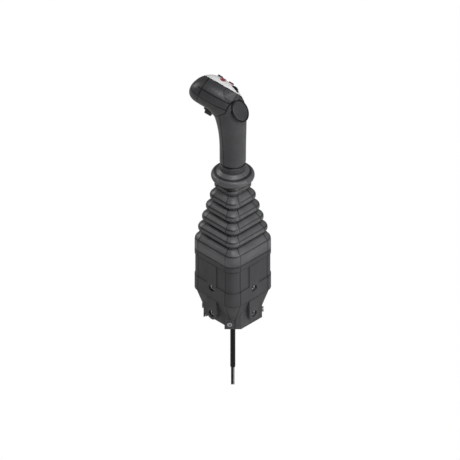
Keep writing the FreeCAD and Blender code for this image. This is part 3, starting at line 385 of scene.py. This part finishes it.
# The gimbal inside the housing: a milled aluminium carrier with two ears, a square ring that
# tilts in it on steel pins, and a hub that tilts in the ring and clamps the shaft.
milled_alloy = Finish("milled_alloy", Metallic=1.0)
tool_marks = (milled_alloy.along("X") * 9000 + milled_alloy.noise(240.0) * 4).sine()
alloy_edge, alloy_round = milled_alloy.edges(0.0004)
alloy_cloud = milled_alloy.noise(180.0, 4.0).ramp(0.35, 0.65)
alloy_tone = milled_alloy.tint(alloy_cloud, (0.58, 0.59, 0.61, 1), (0.70, 0.71, 0.73, 1))
alloy_tone = milled_alloy.tint(alloy_edge * 0.5, alloy_tone, (0.86, 0.87, 0.88, 1))
milled_alloy.show("Base Color", alloy_tone)
milled_alloy.show("Roughness", tool_marks * 0.05 + 0.36)
milled_alloy.relief(tool_marks * 0.3 + milled_alloy.noise(3000.0), 0.00003, alloy_round)
coat(["gimbal_carrier", "gimbal_ring", "shaft_hub", "roller_cradle", "grip_socket"], milled_alloy)

# The pins, the shaft, the limit gate and the frame that holds the gaiter's lip: steel ground
# to size, with the wheel's fine marks left on it.
ground_steel = Finish("ground_steel", Metallic=1.0)
grinding = ground_steel.noise(900.0, 3.0, (1.0, 1.0, 6.0))
steel_tone = ground_steel.tint(
    grinding.ramp(0.3, 0.7), (0.42, 0.43, 0.45, 1), (0.58, 0.585, 0.60, 1)
)
ground_steel.show("Base Color", steel_tone)
ground_steel.show("Roughness", grinding * 0.22 + 0.2)
ground_steel.relief(grinding, 0.00003)
coat(["limit_gate", "outer_pins", "cross_pin", "main_shaft", "retaining_frame"], ground_steel)

# The centring springs: coils of drawn spring steel round the gimbal's pins, which bring the
# handle back to the middle when it is let go.
spring_wire = Finish("spring_wire", Metallic=1.0)
drawing = spring_wire.noise(1800.0).ramp(0.4, 0.7)
wire_tone = spring_wire.tint(drawing, (0.30, 0.30, 0.32, 1), (0.46, 0.46, 0.48, 1))
spring_wire.show("Base Color", wire_tone)
spring_wire.show("Roughness", spring_wire.noise(3000.0) * 0.2 + 0.3)
coat(["outer_springs", "inner_springs"], spring_wire)

# The bushes and the magnet's cup: dry-running polymer the colour of straw, speckled by its
# filler and pressed into the ears, the ring and the shaft's foot.
bush_polymer = Finish("bush_polymer", Roughness=0.48)
filler = bush_polymer.speckle(2400.0)
bush_tone = bush_polymer.tint(filler, (0.50, 0.46, 0.34, 1), (0.62, 0.585, 0.47, 1))
bush_polymer.show("Base Color", bush_tone)
bush_polymer.relief(bush_polymer.noise(4000.0), 0.00003)
coat(["outer_bushes", "inner_bushes", "magnet_cup"], bush_polymer)

# The sensor's magnet: a small disc of sintered magnet alloy with a bright nickel plating,
# glued into its cup over the board.
magnet_plate = Finish("magnet_plate", Metallic=1.0)
plating = magnet_plate.noise(700.0).ramp(0.3, 0.7)
magnet_tone = magnet_plate.tint(plating, (0.66, 0.66, 0.68, 1), (0.76, 0.76, 0.78, 1))
magnet_plate.show("Base Color", magnet_tone)
magnet_plate.show("Roughness", magnet_plate.noise(2000.0) * 0.1 + 0.12)
coat(["sensor_magnet"], magnet_plate)

# The boards: green solder mask over copper tracks, on the standoffs under the carrier and on
# the posts inside the hood, with black moulded switches and a natural nylon plug.
solder_mask = Finish("solder_mask", Coat_Weight=0.3)
tracks = (solder_mask.along("X") * 1600).sine().size()
tracks = tracks * (solder_mask.along("Y") * 1250).sine().size()
mask_tone = solder_mask.tint(
    tracks.ramp(0.82, 0.9), (0.012, 0.10, 0.045, 1), (0.03, 0.19, 0.085, 1)
)
solder_mask.show("Base Color", mask_tone)
solder_mask.show("Roughness", tracks * 0.1 + 0.28)
solder_mask.relief(tracks, 0.00003)
coat(["sensor_board", "control_board"], solder_mask)

plug_nylon = Finish("plug_nylon", Roughness=0.45)
plug_cloud = plug_nylon.noise(900.0)
plug_tone = plug_nylon.tint(plug_cloud, (0.70, 0.68, 0.60, 1), (0.80, 0.78, 0.71, 1))
plug_nylon.show("Base Color", plug_tone)
plug_nylon.relief((plug_nylon.along("X") * 2500).sine(), 0.00015)
coat(["board_plug"], plug_nylon)

switch_moulding = Finish("switch_moulding", Roughness=0.42)
switch_grain = switch_moulding.noise(2600.0)
switch_tone = switch_moulding.tint(
    switch_grain, (0.014, 0.014, 0.015, 1), (0.026, 0.026, 0.027, 1)
)
switch_moulding.show("Base Color", switch_tone)
switch_moulding.relief(switch_moulding.noise(5000.0), 0.00003)
coat(["button_switches", "trigger_switch"], switch_moulding)

# The gaiter: one thick rubber bellows, dipped square at the housing and round at the collar.
# Its walls turn in and out in folds; on the real gaiter they open and close as the shaft tilts.
# The outer edges are scuffed paler. Shade is painted dark into the hollows between the folds,
# and as dark lines round the wall under and along each fold, at the skirt, the lip and the
# collar; dark lines are also painted where the round corners end.
rubber_thickness = 0.0022
housing_rim = 0.1202
fold_pitch = 0.01935
fold_half = [0.0450, 0.0409, 0.0368, 0.0327, 0.0286]
fold_low = [0.1346 + fold_pitch * k for k in range(5)]
rim_corner = 0.0149
valley_corner = 0.0091
valley_inset = 0.0089
web_rise = 0.0053
rim_height = 0.0062
top_fold_half = 0.0227
top_fold_low = 0.2325
lip_line = 0.1203
skirt_line = 0.1384
collar_lines = [top_fold_low, 0.2375, 0.2428, 0.2576]
fold_lines = [low + rise for low in fold_low[1:] for rise in (0, rim_height)]

gaiter_rubber = Finish("gaiter_rubber", IOR=1.5)
gaiter_skin = gaiter_rubber.noise(3400.0, 2.0)
gaiter_bloom = gaiter_rubber.noise(55.0, 5.0)
gaiter_edge, gaiter_round = gaiter_rubber.edges(0.0011)
edge_scuffs = gaiter_edge * gaiter_rubber.noise(170.0, 4.0).ramp(0.25, 0.6)
rubber_tone = gaiter_rubber.tint(
    gaiter_bloom.ramp(0.3, 0.7), (0.082, 0.084, 0.087, 1), (0.105, 0.107, 0.110, 1)
)
# Painted shade: the hollows and creases between the folds are painted dark.
rubber_tone = gaiter_rubber.tint(
    gaiter_rubber.hollow(0.012) * 0.8, rubber_tone, (0.016, 0.016, 0.017, 1)
)
rubber_tone = gaiter_rubber.tint(edge_scuffs * 0.3, rubber_tone, (0.20, 0.202, 0.206, 1))
# Painted shade: dark lines round the wall under and along each fold, at the skirt, the lip and the
# collar stand in for shade there; dark lines are also painted where the round corners end.
gaiter_height = gaiter_rubber.along("Z")
nearest = (gaiter_height - lip_line).size()
for place in [skirt_line] + collar_lines + fold_lines:
    nearest = nearest.least((gaiter_height - place).size())
corner_run = gaiter_rubber.node("ShaderNodeAttribute", {"attribute_name": "corner_run"}, {}, "Fac")
nearest = nearest.least(corner_run.size())
shade_and_corner_lines = 1 - nearest.ramp(0.0005, 0.0012)
rubber_tone = gaiter_rubber.tint(shade_and_corner_lines * 0.92, rubber_tone, (0.012, 0.012, 0.013, 1))
gaiter_rubber.show("Base Color", rubber_tone)
gaiter_rubber.show("Roughness", gaiter_bloom * 0.12 + 0.34)
gaiter_rubber.relief(gaiter_skin + gaiter_bloom * 0.8, 0.00010, gaiter_round)


def square_loop(half, corner, z, corner_steps=14, side_steps=7):
    """Points round a square with round corners, the same count for every size."""
    points = []
    middle = half - corner
    for turn in range(4):
        facing = turn * math.pi / 2
        for k in range(side_steps):
            run = -middle + 2 * middle * k / side_steps
            points.append((half, run, facing))
        for k in range(corner_steps):
            a = math.pi / 2 * k / corner_steps
            points.append((middle + corner * math.cos(a), middle + corner * math.sin(a), facing))
    loop = []
    for x, y, facing in points:
        turned_x = x * math.cos(facing) - y * math.sin(facing)
        turned_y = x * math.sin(facing) + y * math.cos(facing)
        loop.append(Vector((turned_x, turned_y, z)))
    return loop


def corner_runs(half, corner, z, corner_steps=14, side_steps=7):
    """Distance of each point of a loop from the end of a round corner, minus inside it."""
    middle = half - corner
    nearly_round = 0.002
    if middle < nearly_round:
        return [1.0] * 4 * (side_steps + corner_steps)
    runs = []
    for k in range(side_steps):
        runs.append(middle - abs(-middle + 2 * middle * k / side_steps))
    for k in range(corner_steps):
        runs.append(-corner * math.pi / 2 * min(k, corner_steps - k) / corner_steps)
    return runs * 4


def rubber_wall(name, rows, nodes):
    """Closed rubber wall through rows of (half width, corner radius, height)."""
    mesh = bmesh.new()
    outer = [[mesh.verts.new(p) for p in square_loop(*row)] for row in rows]
    inner_rows = [
        (half - rubber_thickness, max(corner - rubber_thickness, 0.0015), z)
        for half, corner, z in rows
    ]
    inner = [[mesh.verts.new(p) for p in square_loop(*row)] for row in inner_rows]
    count = len(outer[0])
    for ring, flip in ((outer, False), (inner, True)):
        for low, high in zip(ring, ring[1:]):
            for k in range(count):
                quad = (low[k], low[(k + 1) % count], high[(k + 1) % count], high[k])
                mesh.faces.new(reversed(quad) if flip else quad)
    for k in range(count):
        following = (k + 1) % count
        mesh.faces.new((outer[0][following], outer[0][k], inner[0][k], inner[0][following]))
        mesh.faces.new((outer[-1][k], outer[-1][following], inner[-1][following], inner[-1][k]))
    for face in mesh.faces:
        face.smooth = True
    shell = bpy.data.meshes.new(name)
    mesh.to_mesh(shell)
    mesh.free()
    runs = shell.attributes.new("corner_run", "FLOAT", "POINT")
    for row, values in enumerate(rows + inner_rows):
        for k, run in enumerate(corner_runs(*values)):
            runs.data[row * count + k].value = run
    piece = bpy.data.objects.new(name, shell)
    bpy.context.collection.objects.link(piece)
    shell.materials.append(gaiter_rubber.material)
    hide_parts(*nodes)
    return piece


def bent(points, radius, steps=5):
    """Rows through the points, with each inner corner rounded off."""
    rows = [points[0]]
    for before, corner, after in zip(points, points[1:], points[2:]):
        here = Vector(corner)
        back = Vector(before) - here
        ahead = Vector(after) - here
        reach = min(radius, back.length * 0.45, ahead.length * 0.45)
        start = here + back.normalized() * reach
        end = here + ahead.normalized() * reach
        for k in range(steps + 1):
            t = k / steps
            rows.append(tuple(start * (1 - t) ** 2 + here * (2 * t * (1 - t)) + end * t ** 2))
    rows.append(points[-1])
    return rows


valleys = [
    (half - valley_inset, valley_corner, low - web_rise)
    for half, low in zip(fold_half, fold_low[1:] + [top_fold_low])
]

skirt_corner = 0.0165
skirt_rim_set_in = 0.0007
skirt_rim = fold_low[0] + 0.0038
skirt = rubber_wall(
    "gaiter_skirt_wall",
    bent(
        [
            (fold_half[0], skirt_corner, housing_rim),
            (fold_half[0], skirt_corner, fold_low[0]),
            (fold_half[0] - skirt_rim_set_in, skirt_corner - skirt_rim_set_in, skirt_rim),
            valleys[0],
        ],
        0.0016,
    ),
    ["gaiter_skirt"],
)
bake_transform(skirt)

for k in range(1, 5):
    half = fold_half[k]
    low = fold_low[k]
    middle = low + rim_height * 0.45
    web = rubber_wall(
        f"gaiter_fold_{k}_underside",
        bent([valleys[k - 1], (half, rim_corner, low), (half, rim_corner, middle)], 0.0013),
        [f"gaiter_web_{k}"],
    )
    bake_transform(web)
    crown = rubber_wall(
        f"gaiter_fold_{k}_slope",
        bent(
            [
                (half, rim_corner, middle),
                (half, rim_corner, low + rim_height * 0.6),
                (half - 0.001, rim_corner - 0.001, low + rim_height),
                valleys[k],
            ],
            0.0015,
        ),
        [f"gaiter_crown_{k}"],
    )
    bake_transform(crown)

top_fold_corner = 0.0111
small_middle = top_fold_low + 0.0015
top_web = rubber_wall(
    "gaiter_top_underside",
    bent(
        [
            valleys[4],
            (top_fold_half, top_fold_corner, top_fold_low),
            (top_fold_half, top_fold_corner, small_middle),
        ],
        0.001,
    ),
    ["gaiter_top_web"],
)
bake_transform(top_web)

# The collar: the bellows' thick rolled end, round by now, that grips the neck under the
# handle. It is dipped in one piece with the small top fold.
roll_centre_radius = 0.0263
roll_centre_height = 0.2508
roll_radius = 0.0063
collar_bend = 0.0012
roll_rows = []
for k in range(13):
    a = math.radians(-78 + 150 * k / 12)
    radius = roll_centre_radius + roll_radius * math.cos(a)
    roll_rows.append((radius, radius, roll_centre_height + roll_radius * math.sin(a)))
collar_rows = bent(
    [
        (top_fold_half, top_fold_corner, small_middle),
        (top_fold_half, top_fold_corner, top_fold_low + 0.0032),
        (top_fold_half - 0.0012, top_fold_corner, top_fold_low + 0.0050),
        (0.0205, 0.0140, 0.2398),
        (0.0222, 0.0222, 0.2424),
    ],
    collar_bend,
)
neck_rows = [(0.0250, 0.0250, 0.2583), (0.0203, 0.0203, 0.2622), (0.0197, 0.0197, 0.2627)]
collar_rows += roll_rows + bent([roll_rows[-1]] + neck_rows, collar_bend)[1:]
collar = rubber_wall("gaiter_rolled_collar", collar_rows, ["gaiter_collar"])
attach(collar, "fold_collar")

# The neck ring: a ribbed collar under the handle, moulded in black nylon, with a groove above
# it that shows a dark gap below the handle.
neck_nylon = Finish("neck_nylon")
neck_turning = (neck_nylon.along("Z") * 9000).sine()
neck_edge_shade, neck_round = neck_nylon.edges(0.0005)
neck_tone = neck_nylon.tint(
    neck_nylon.noise(600.0), (0.036, 0.037, 0.039, 1), (0.050, 0.051, 0.054, 1)
)
# Painted shade: the ring's edges are painted darker.
neck_tone = neck_nylon.tint(neck_edge_shade * 0.6, neck_tone, (0.008, 0.008, 0.009, 1))
neck_nylon.show("Base Color", neck_tone)
neck_nylon.show("Roughness", neck_turning * 0.04 + 0.42)
neck_nylon.relief(neck_turning, 0.00003, neck_round)
coat(["neck_ring"], neck_nylon)

# The handle: two half shells screwed together round the shaft, a hood over the head, and an
# end cap, all in the same charcoal nylon with a finer skin than the housing. Palms have
# polished the column a little smoother than the hood.
handle_nylon = Finish("handle_nylon", IOR=1.5)
handle_grain = handle_nylon.noise(5200.0, 2.0)
handle_edge_shade, handle_round = handle_nylon.edges(0.0006)
palm_patches = handle_nylon.noise(30.0, 3.0).ramp(0.3, 0.7)
palm_polish = (1 - handle_nylon.along("Z").ramp(0.30, 0.40)) * palm_patches
handle_cloud = handle_nylon.noise(45.0, 4.0).ramp(0.3, 0.7)
handle_tone = handle_nylon.tint(
    handle_cloud, (0.040, 0.041, 0.043, 1), (0.050, 0.051, 0.054, 1)
)
yaw = math.radians(15.7)
rise = math.radians(15.1)
face_roll = math.radians(43.0)
face_offset = 0.0163
ahead = Vector((-math.cos(yaw), -math.sin(yaw), 0.0))
side = Vector((-math.sin(yaw), math.cos(yaw), 0.0))
head_way = ahead * math.cos(rise) + Vector((0, 0, math.sin(rise)))
head_up = ahead * -math.sin(rise) + Vector((0, 0, math.cos(rise)))
axis_start = Vector((0, 0, 0.379))
face_way = head_up * math.cos(face_roll) + side * math.sin(face_roll)
across_way = head_up * math.sin(face_roll) - side * math.cos(face_roll)


def on_axis(distance):
    """Point of the head's axis at a distance along the handle's forward direction."""
    return axis_start + ahead * distance + Vector((0, 0, distance * math.tan(rise)))


hood_start = -0.0005
cap_start = 0.0455
crotch_point = ahead * 0.028 + Vector((0, 0, 0.356))
climb = math.radians(35)
climb_way = ahead * math.sin(climb) + Vector((0, 0, math.cos(climb)))
past_hood = handle_nylon.facing(on_axis(hood_start), head_way)
in_head = past_hood.least(handle_nylon.facing(crotch_point, climb_way))
below_head = (in_head < 0) * 1.0

split_foot = ahead * 0.0048 + Vector((0, 0, 0.2763))
split_lean = math.atan2(0.0042, 0.0797)
split_way = ahead * math.cos(split_lean) - Vector((0, 0, math.sin(split_lean)))
past_split = handle_nylon.facing(split_foot, split_way)
past_cap = handle_nylon.facing(on_axis(cap_start), head_way)
seams = in_head.size()
seams = seams.least(past_cap.size() + below_head)
seams = seams.least(past_split.size() + (in_head > 0) * 1.0)
for angle in (-56.0, -86.0):
    turn = math.radians(angle)
    across = side * math.cos(turn) - head_up * math.sin(turn)
    outward = head_up * math.cos(turn) + side * math.sin(turn)
    line = handle_nylon.facing(axis_start, across).size()
    far_half = (handle_nylon.facing(axis_start, outward) < 0) * 1.0
    seams = seams.least(line + below_head + far_half)
panel_rim = (handle_nylon.facing(axis_start, face_way) - face_offset).size()
seams = seams.least(panel_rim + below_head)
groove = 1 - seams.ramp(0.0006, 0.0013)
handle_tone = handle_nylon.tint(groove * 0.97, handle_tone, (0.004, 0.004, 0.005, 1))
# Painted shade: the shells' edges are painted darker.
handle_tone = handle_nylon.tint(handle_edge_shade * 0.5, handle_tone, (0.010, 0.010, 0.011, 1))
handle_nylon.show("Base Color", handle_tone)
handle_nylon.show("Roughness", handle_grain * 0.10 + 0.36 + palm_polish * -0.04)
handle_skin = handle_grain + handle_nylon.speckle(3000.0) * 0.4
handle_nylon.relief(handle_skin, 0.00007, handle_round)
coat(["grip_rear_shell", "grip_front_shell"], handle_nylon)
coat(["head_hood", "head_end_cap", "elbow_cap"], handle_nylon)

# The trims: a ring round the elbow's cap and a frame round the trigger, moulded in a blacker
# nylon than the shells and pressed into their seats.
trim_nylon = Finish("trim_nylon", Roughness=0.45, Specular_IOR_Level=0.25)
trim_edge, trim_round = trim_nylon.edges(0.0004)
trim_tone = trim_nylon.tint(
    trim_nylon.noise(2200.0), (0.008, 0.008, 0.009, 1), (0.015, 0.015, 0.016, 1)
)
trim_tone = trim_nylon.tint(trim_edge * 0.3, trim_tone, (0.05, 0.05, 0.052, 1))
trim_nylon.show("Base Color", trim_tone)
trim_nylon.relief(trim_nylon.noise(4600.0), 0.00004, trim_round)
coat(["elbow_ring", "trigger_bezel"], trim_nylon)

# The face panel: a pale domed plate let into the top of the head, moulded in light grey
# plastic with a satin face, and darker along its edge where it meets the hood.
panel_plastic = Finish("panel_plastic", Coat_Weight=0.15, Coat_Roughness=0.25)
panel_cloud = panel_plastic.noise(90.0, 4.0)
panel_edge, panel_round = panel_plastic.edges(0.0006)
panel_tone = panel_plastic.tint(
    panel_cloud.ramp(0.3, 0.7), (0.80, 0.805, 0.81, 1), (0.86, 0.865, 0.87, 1)
)
panel_tone = panel_plastic.tint(panel_edge * 0.8, panel_tone, (0.10, 0.10, 0.10, 1))
panel_plastic.show("Base Color", panel_tone)
panel_plastic.show("Roughness", panel_plastic.noise(2600.0) * 0.16 + 0.26)
panel_plastic.relief(panel_plastic.noise(1800.0), 0.000008, panel_round)
coat(["face_panel"], panel_plastic)

# The controls: push buttons in black, red and dark red, a knurled black roller for the thumb
# and a black trigger under the head, each a glossy cap polished by use.
black_caps = ["button_front", "thumb_roller", "trigger_button"]
for name, caps, dark, light in (
    ("button_black_gloss", black_caps, (0.005, 0.005, 0.006, 1), (0.010, 0.010, 0.011, 1)),
    ("button_red_gloss", ["button_middle"], (0.22, 0.024, 0.030, 1), (0.29, 0.038, 0.046, 1)),
    ("button_dark_red_gloss", ["button_rear"], (0.12, 0.010, 0.015, 1), (0.18, 0.016, 0.023, 1)),
):
    cap_gloss = Finish(
        name, Specular_IOR_Level=0.35, Coat_Weight=0.2, Coat_Roughness=0.15
    )
    cap_round = cap_gloss.edges(0.0004)[1]
    cap_cloud = cap_gloss.noise(500.0, 4.0).ramp(0.3, 0.7)
    cap_gloss.show("Base Color", cap_gloss.tint(cap_cloud, dark, light))
    cap_gloss.show("Roughness", cap_gloss.noise(1500.0) * 0.2 + 0.18)
    cap_gloss.relief(cap_gloss.noise(4200.0), 0.00002, cap_round)
    coat(caps, cap_gloss)

# The roller's bracket: two rounded cheeks of sheet aluminium under the panel that carry the
# roller's axle. The cheeks alone are built: the real bracket's foot is hidden in the head.
roller_place = Vector((-0.0085, 0.0030, 0.01656))
cheek_gap = 0.0033
cheek_thickness = 0.002
cheek_half_length = 0.004
cheek_foot = -0.0045
cheek_top_radius = 0.0024


def face_point(place, across, height):
    """Point over the head's axis: along the head, across the panel, above the axis."""
    return on_axis(-place) + across_way * across + face_way * height


def solid_hull(name, points, finish):
    """Closed convex piece through points of its surface."""
    mesh = bmesh.new()
    for point in points:
        mesh.verts.new(point)
    made = bmesh.ops.convex_hull(mesh, input=mesh.verts)
    inner = [v for v in made["geom_interior"] if isinstance(v, bmesh.types.BMVert)]
    bmesh.ops.delete(mesh, geom=inner, context="VERTS")
    bmesh.ops.recalc_face_normals(mesh, faces=mesh.faces)
    shell = bpy.data.meshes.new(name)
    mesh.to_mesh(shell)
    mesh.free()
    piece = bpy.data.objects.new(name, shell)
    bpy.context.collection.objects.link(piece)
    shell.materials.append(finish.material)
    return piece


for way_out in (1, -1):
    inner = roller_place.y + way_out * cheek_gap
    outer = inner + way_out * cheek_thickness
    outline = [(-cheek_half_length, cheek_foot), (cheek_half_length, cheek_foot)]
    for k in range(9):
        a = math.pi * k / 8
        outline.append((cheek_top_radius * math.cos(a), cheek_top_radius * math.sin(a)))
    cheek = solid_hull(
        f"roller_bracket_cheek_{'near' if way_out > 0 else 'far'}",
        [
            face_point(roller_place.x + run, across, roller_place.z + up)
            for run, up in outline
            for across in (inner, outer)
        ],
        milled_alloy,
    )
    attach(cheek, "stick")
    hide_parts("roller_cradle")

# The fairing beside the roller: a thin moulded skin from the panel's near rim down to the
# elbow's flat. It closes the head's wall over the bracket's foot and the roller's slot.
fairing_start = -0.0165
fairing_end = 0.0035
fairing_foot = 0.0022
fairing_inner = 0.0068
fairing_lift = 0.00006
fairing_thickness = 0.0006
fairing_side = 0.35
rim_side = 0.5
rim_depth = 0.001
probe_step = 0.0005
probe_height = 0.05
probe_across_start = -0.002


def hit_outside(names, start, way):
    """First point of these CAD nodes on a line, or None."""
    best = None
    for name in names:
        found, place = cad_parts[name].ray_cast(start, way)[:2]
        if found and (best is None or (place - start).length < (best - start).length):
            best = place
    return best


fairing_points = []
for k in range(round((fairing_end - fairing_start) / probe_step) + 1):
    place = fairing_start + probe_step * k
    rim = None
    for n in range(38):
        across = probe_across_start + probe_step * n
        top = hit_outside(["face_panel"], face_point(place, across, probe_height), -face_way)
        if top is not None and (top - axis_start).dot(face_way) > face_offset - rim_depth:
            rim = top
            if across > fairing_inner:
                fairing_points.append(top)
    if rim is not None:
        fairing_points.append(rim)
    for n in range(27):
        height = fairing_foot + probe_step * n
        start = face_point(place, probe_height, height)
        wall = hit_outside(["head_hood", "grip_rear_shell"], start, -across_way)
        deepest = -0.001 if place < 0 else -0.005
        if wall is not None and (wall - axis_start).dot(across_way) > deepest:
            fairing_points.append(wall)
outward = (face_way + across_way).normalized()
fairing_points = [point + outward * fairing_lift for point in fairing_points]
fairing = solid_hull("roller_side_fairing", fairing_points, panel_plastic)
fairing.data.materials.append(handle_nylon.material)
trimmed = bmesh.new()
trimmed.from_mesh(fairing.data)
inside = [face for face in trimmed.faces if face.normal.dot(outward) < fairing_side]
bmesh.ops.delete(trimmed, geom=inside, context="FACES")
for face in trimmed.faces:
    height = (face.calc_center_median() - axis_start).dot(face_way)
    on_panel = height > face_offset and face.normal.dot(face_way) > rim_side
    face.material_index = 0 if on_panel else 1
trimmed.to_mesh(fairing.data)
trimmed.free()
closing = fairing.modifiers.new("fairing_thickness", "SOLIDIFY")
closing.thickness = fairing_thickness
closing.offset = -1.0
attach(fairing, "stick")

# The setting: a plain pale floor far under the hanging cable, soft studio lamps and the
# photograph's raised three-quarter view.
pale_ground = Finish("pale_ground", Roughness=0.9)
ground_mottle = pale_ground.noise(3.0, 2.0)
ground_tone = pale_ground.tint(ground_mottle, (0.89, 0.89, 0.89, 1), (0.91, 0.91, 0.91, 1))
pale_ground.show("Base Color", ground_tone)
white = {"Color": (1, 1, 1, 1), "Strength": 1.0}
ground_white = pale_ground.node("ShaderNodeEmission", {}, white)
seen_ground = pale_ground.node("ShaderNodeLightPath", {}, {}, "Is Camera Ray")
lit_ground = Shade(pale_ground.tree, pale_ground.surface.outputs[0])
ground_look = pale_ground.node(
    "ShaderNodeMixShader", {}, {0: seen_ground, 1: lit_ground, 2: ground_white}
)
ground_output = pale_ground.tree.nodes["Material Output"]
pale_ground.tree.links.new(ground_look.socket, ground_output.inputs[0])
ground_mesh = bpy.data.meshes.new("ground_sheet")
reach = 6.0
drop = -0.16
ground_corners = [
    (-reach, -reach, drop), (reach, -reach, drop), (reach, reach, drop), (-reach, reach, drop)
]
ground_mesh.from_pydata(ground_corners, [], [(0, 1, 2, 3)])
ground_mesh.materials.append(pale_ground.material)
ground = bpy.data.objects.new("ground_sheet", ground_mesh)
bpy.context.collection.objects.link(ground)

world = bpy.data.worlds.new("studio_air")
studio_air = Nodes(world)
white_air = studio_air.node("ShaderNodeBackground", {}, white)
room_air = studio_air.node("ShaderNodeBackground", {}, {**white, "Strength": 0.14})
seen_air = studio_air.node("ShaderNodeLightPath", {}, {}, "Is Camera Ray")
air_look = studio_air.node(
    "ShaderNodeMixShader", {}, {0: seen_air, 1: room_air, 2: white_air}
)
studio_air.tree.links.new(air_look.socket, studio_air.tree.nodes["World Output"].inputs[0])
bpy.context.scene.world = world

lamp_aim = Vector((0, 0, 0.2))
for name, place, size, power in (
    ("side_lamp", (-1.6, -0.45, 1.05), 0.35, 9.0),
    ("fill_lamp", (1.6, 0.35, 0.9), 1.0, 15.5),
    ("top_lamp", (0.86, -0.45, 2.03), 0.45, 18.0),
):
    lamp_data = bpy.data.lights.new(name, "AREA")
    lamp_data.size = size
    lamp_data.energy = power
    lamp = bpy.data.objects.new(name, lamp_data)
    lamp.location = place
    lamp.rotation_euler = (lamp_aim - lamp.location).to_track_quat("-Z", "Y").to_euler()
    bpy.context.collection.objects.link(lamp)

camera_data = bpy.data.cameras.new("photo_camera")
camera_data.type = "ORTHO"
camera_data.ortho_scale = 0.6831
camera_distance = 3.0
camera = bpy.data.objects.new("photo_camera", camera_data)
aim = Vector((-0.00294, -0.00294, 0.1497))
tilt = math.atan(math.sqrt(0.5))
level = math.cos(tilt) * math.sqrt(0.5)
way = Vector((level, -level, math.sin(tilt)))
camera.location = aim + way * camera_distance
camera.rotation_euler = (-way).to_track_quat("-Z", "Y").to_euler()
bpy.context.collection.objects.link(camera)
bpy.context.scene.camera = camera
bpy.context.scene.view_settings.view_transform = "Standard"
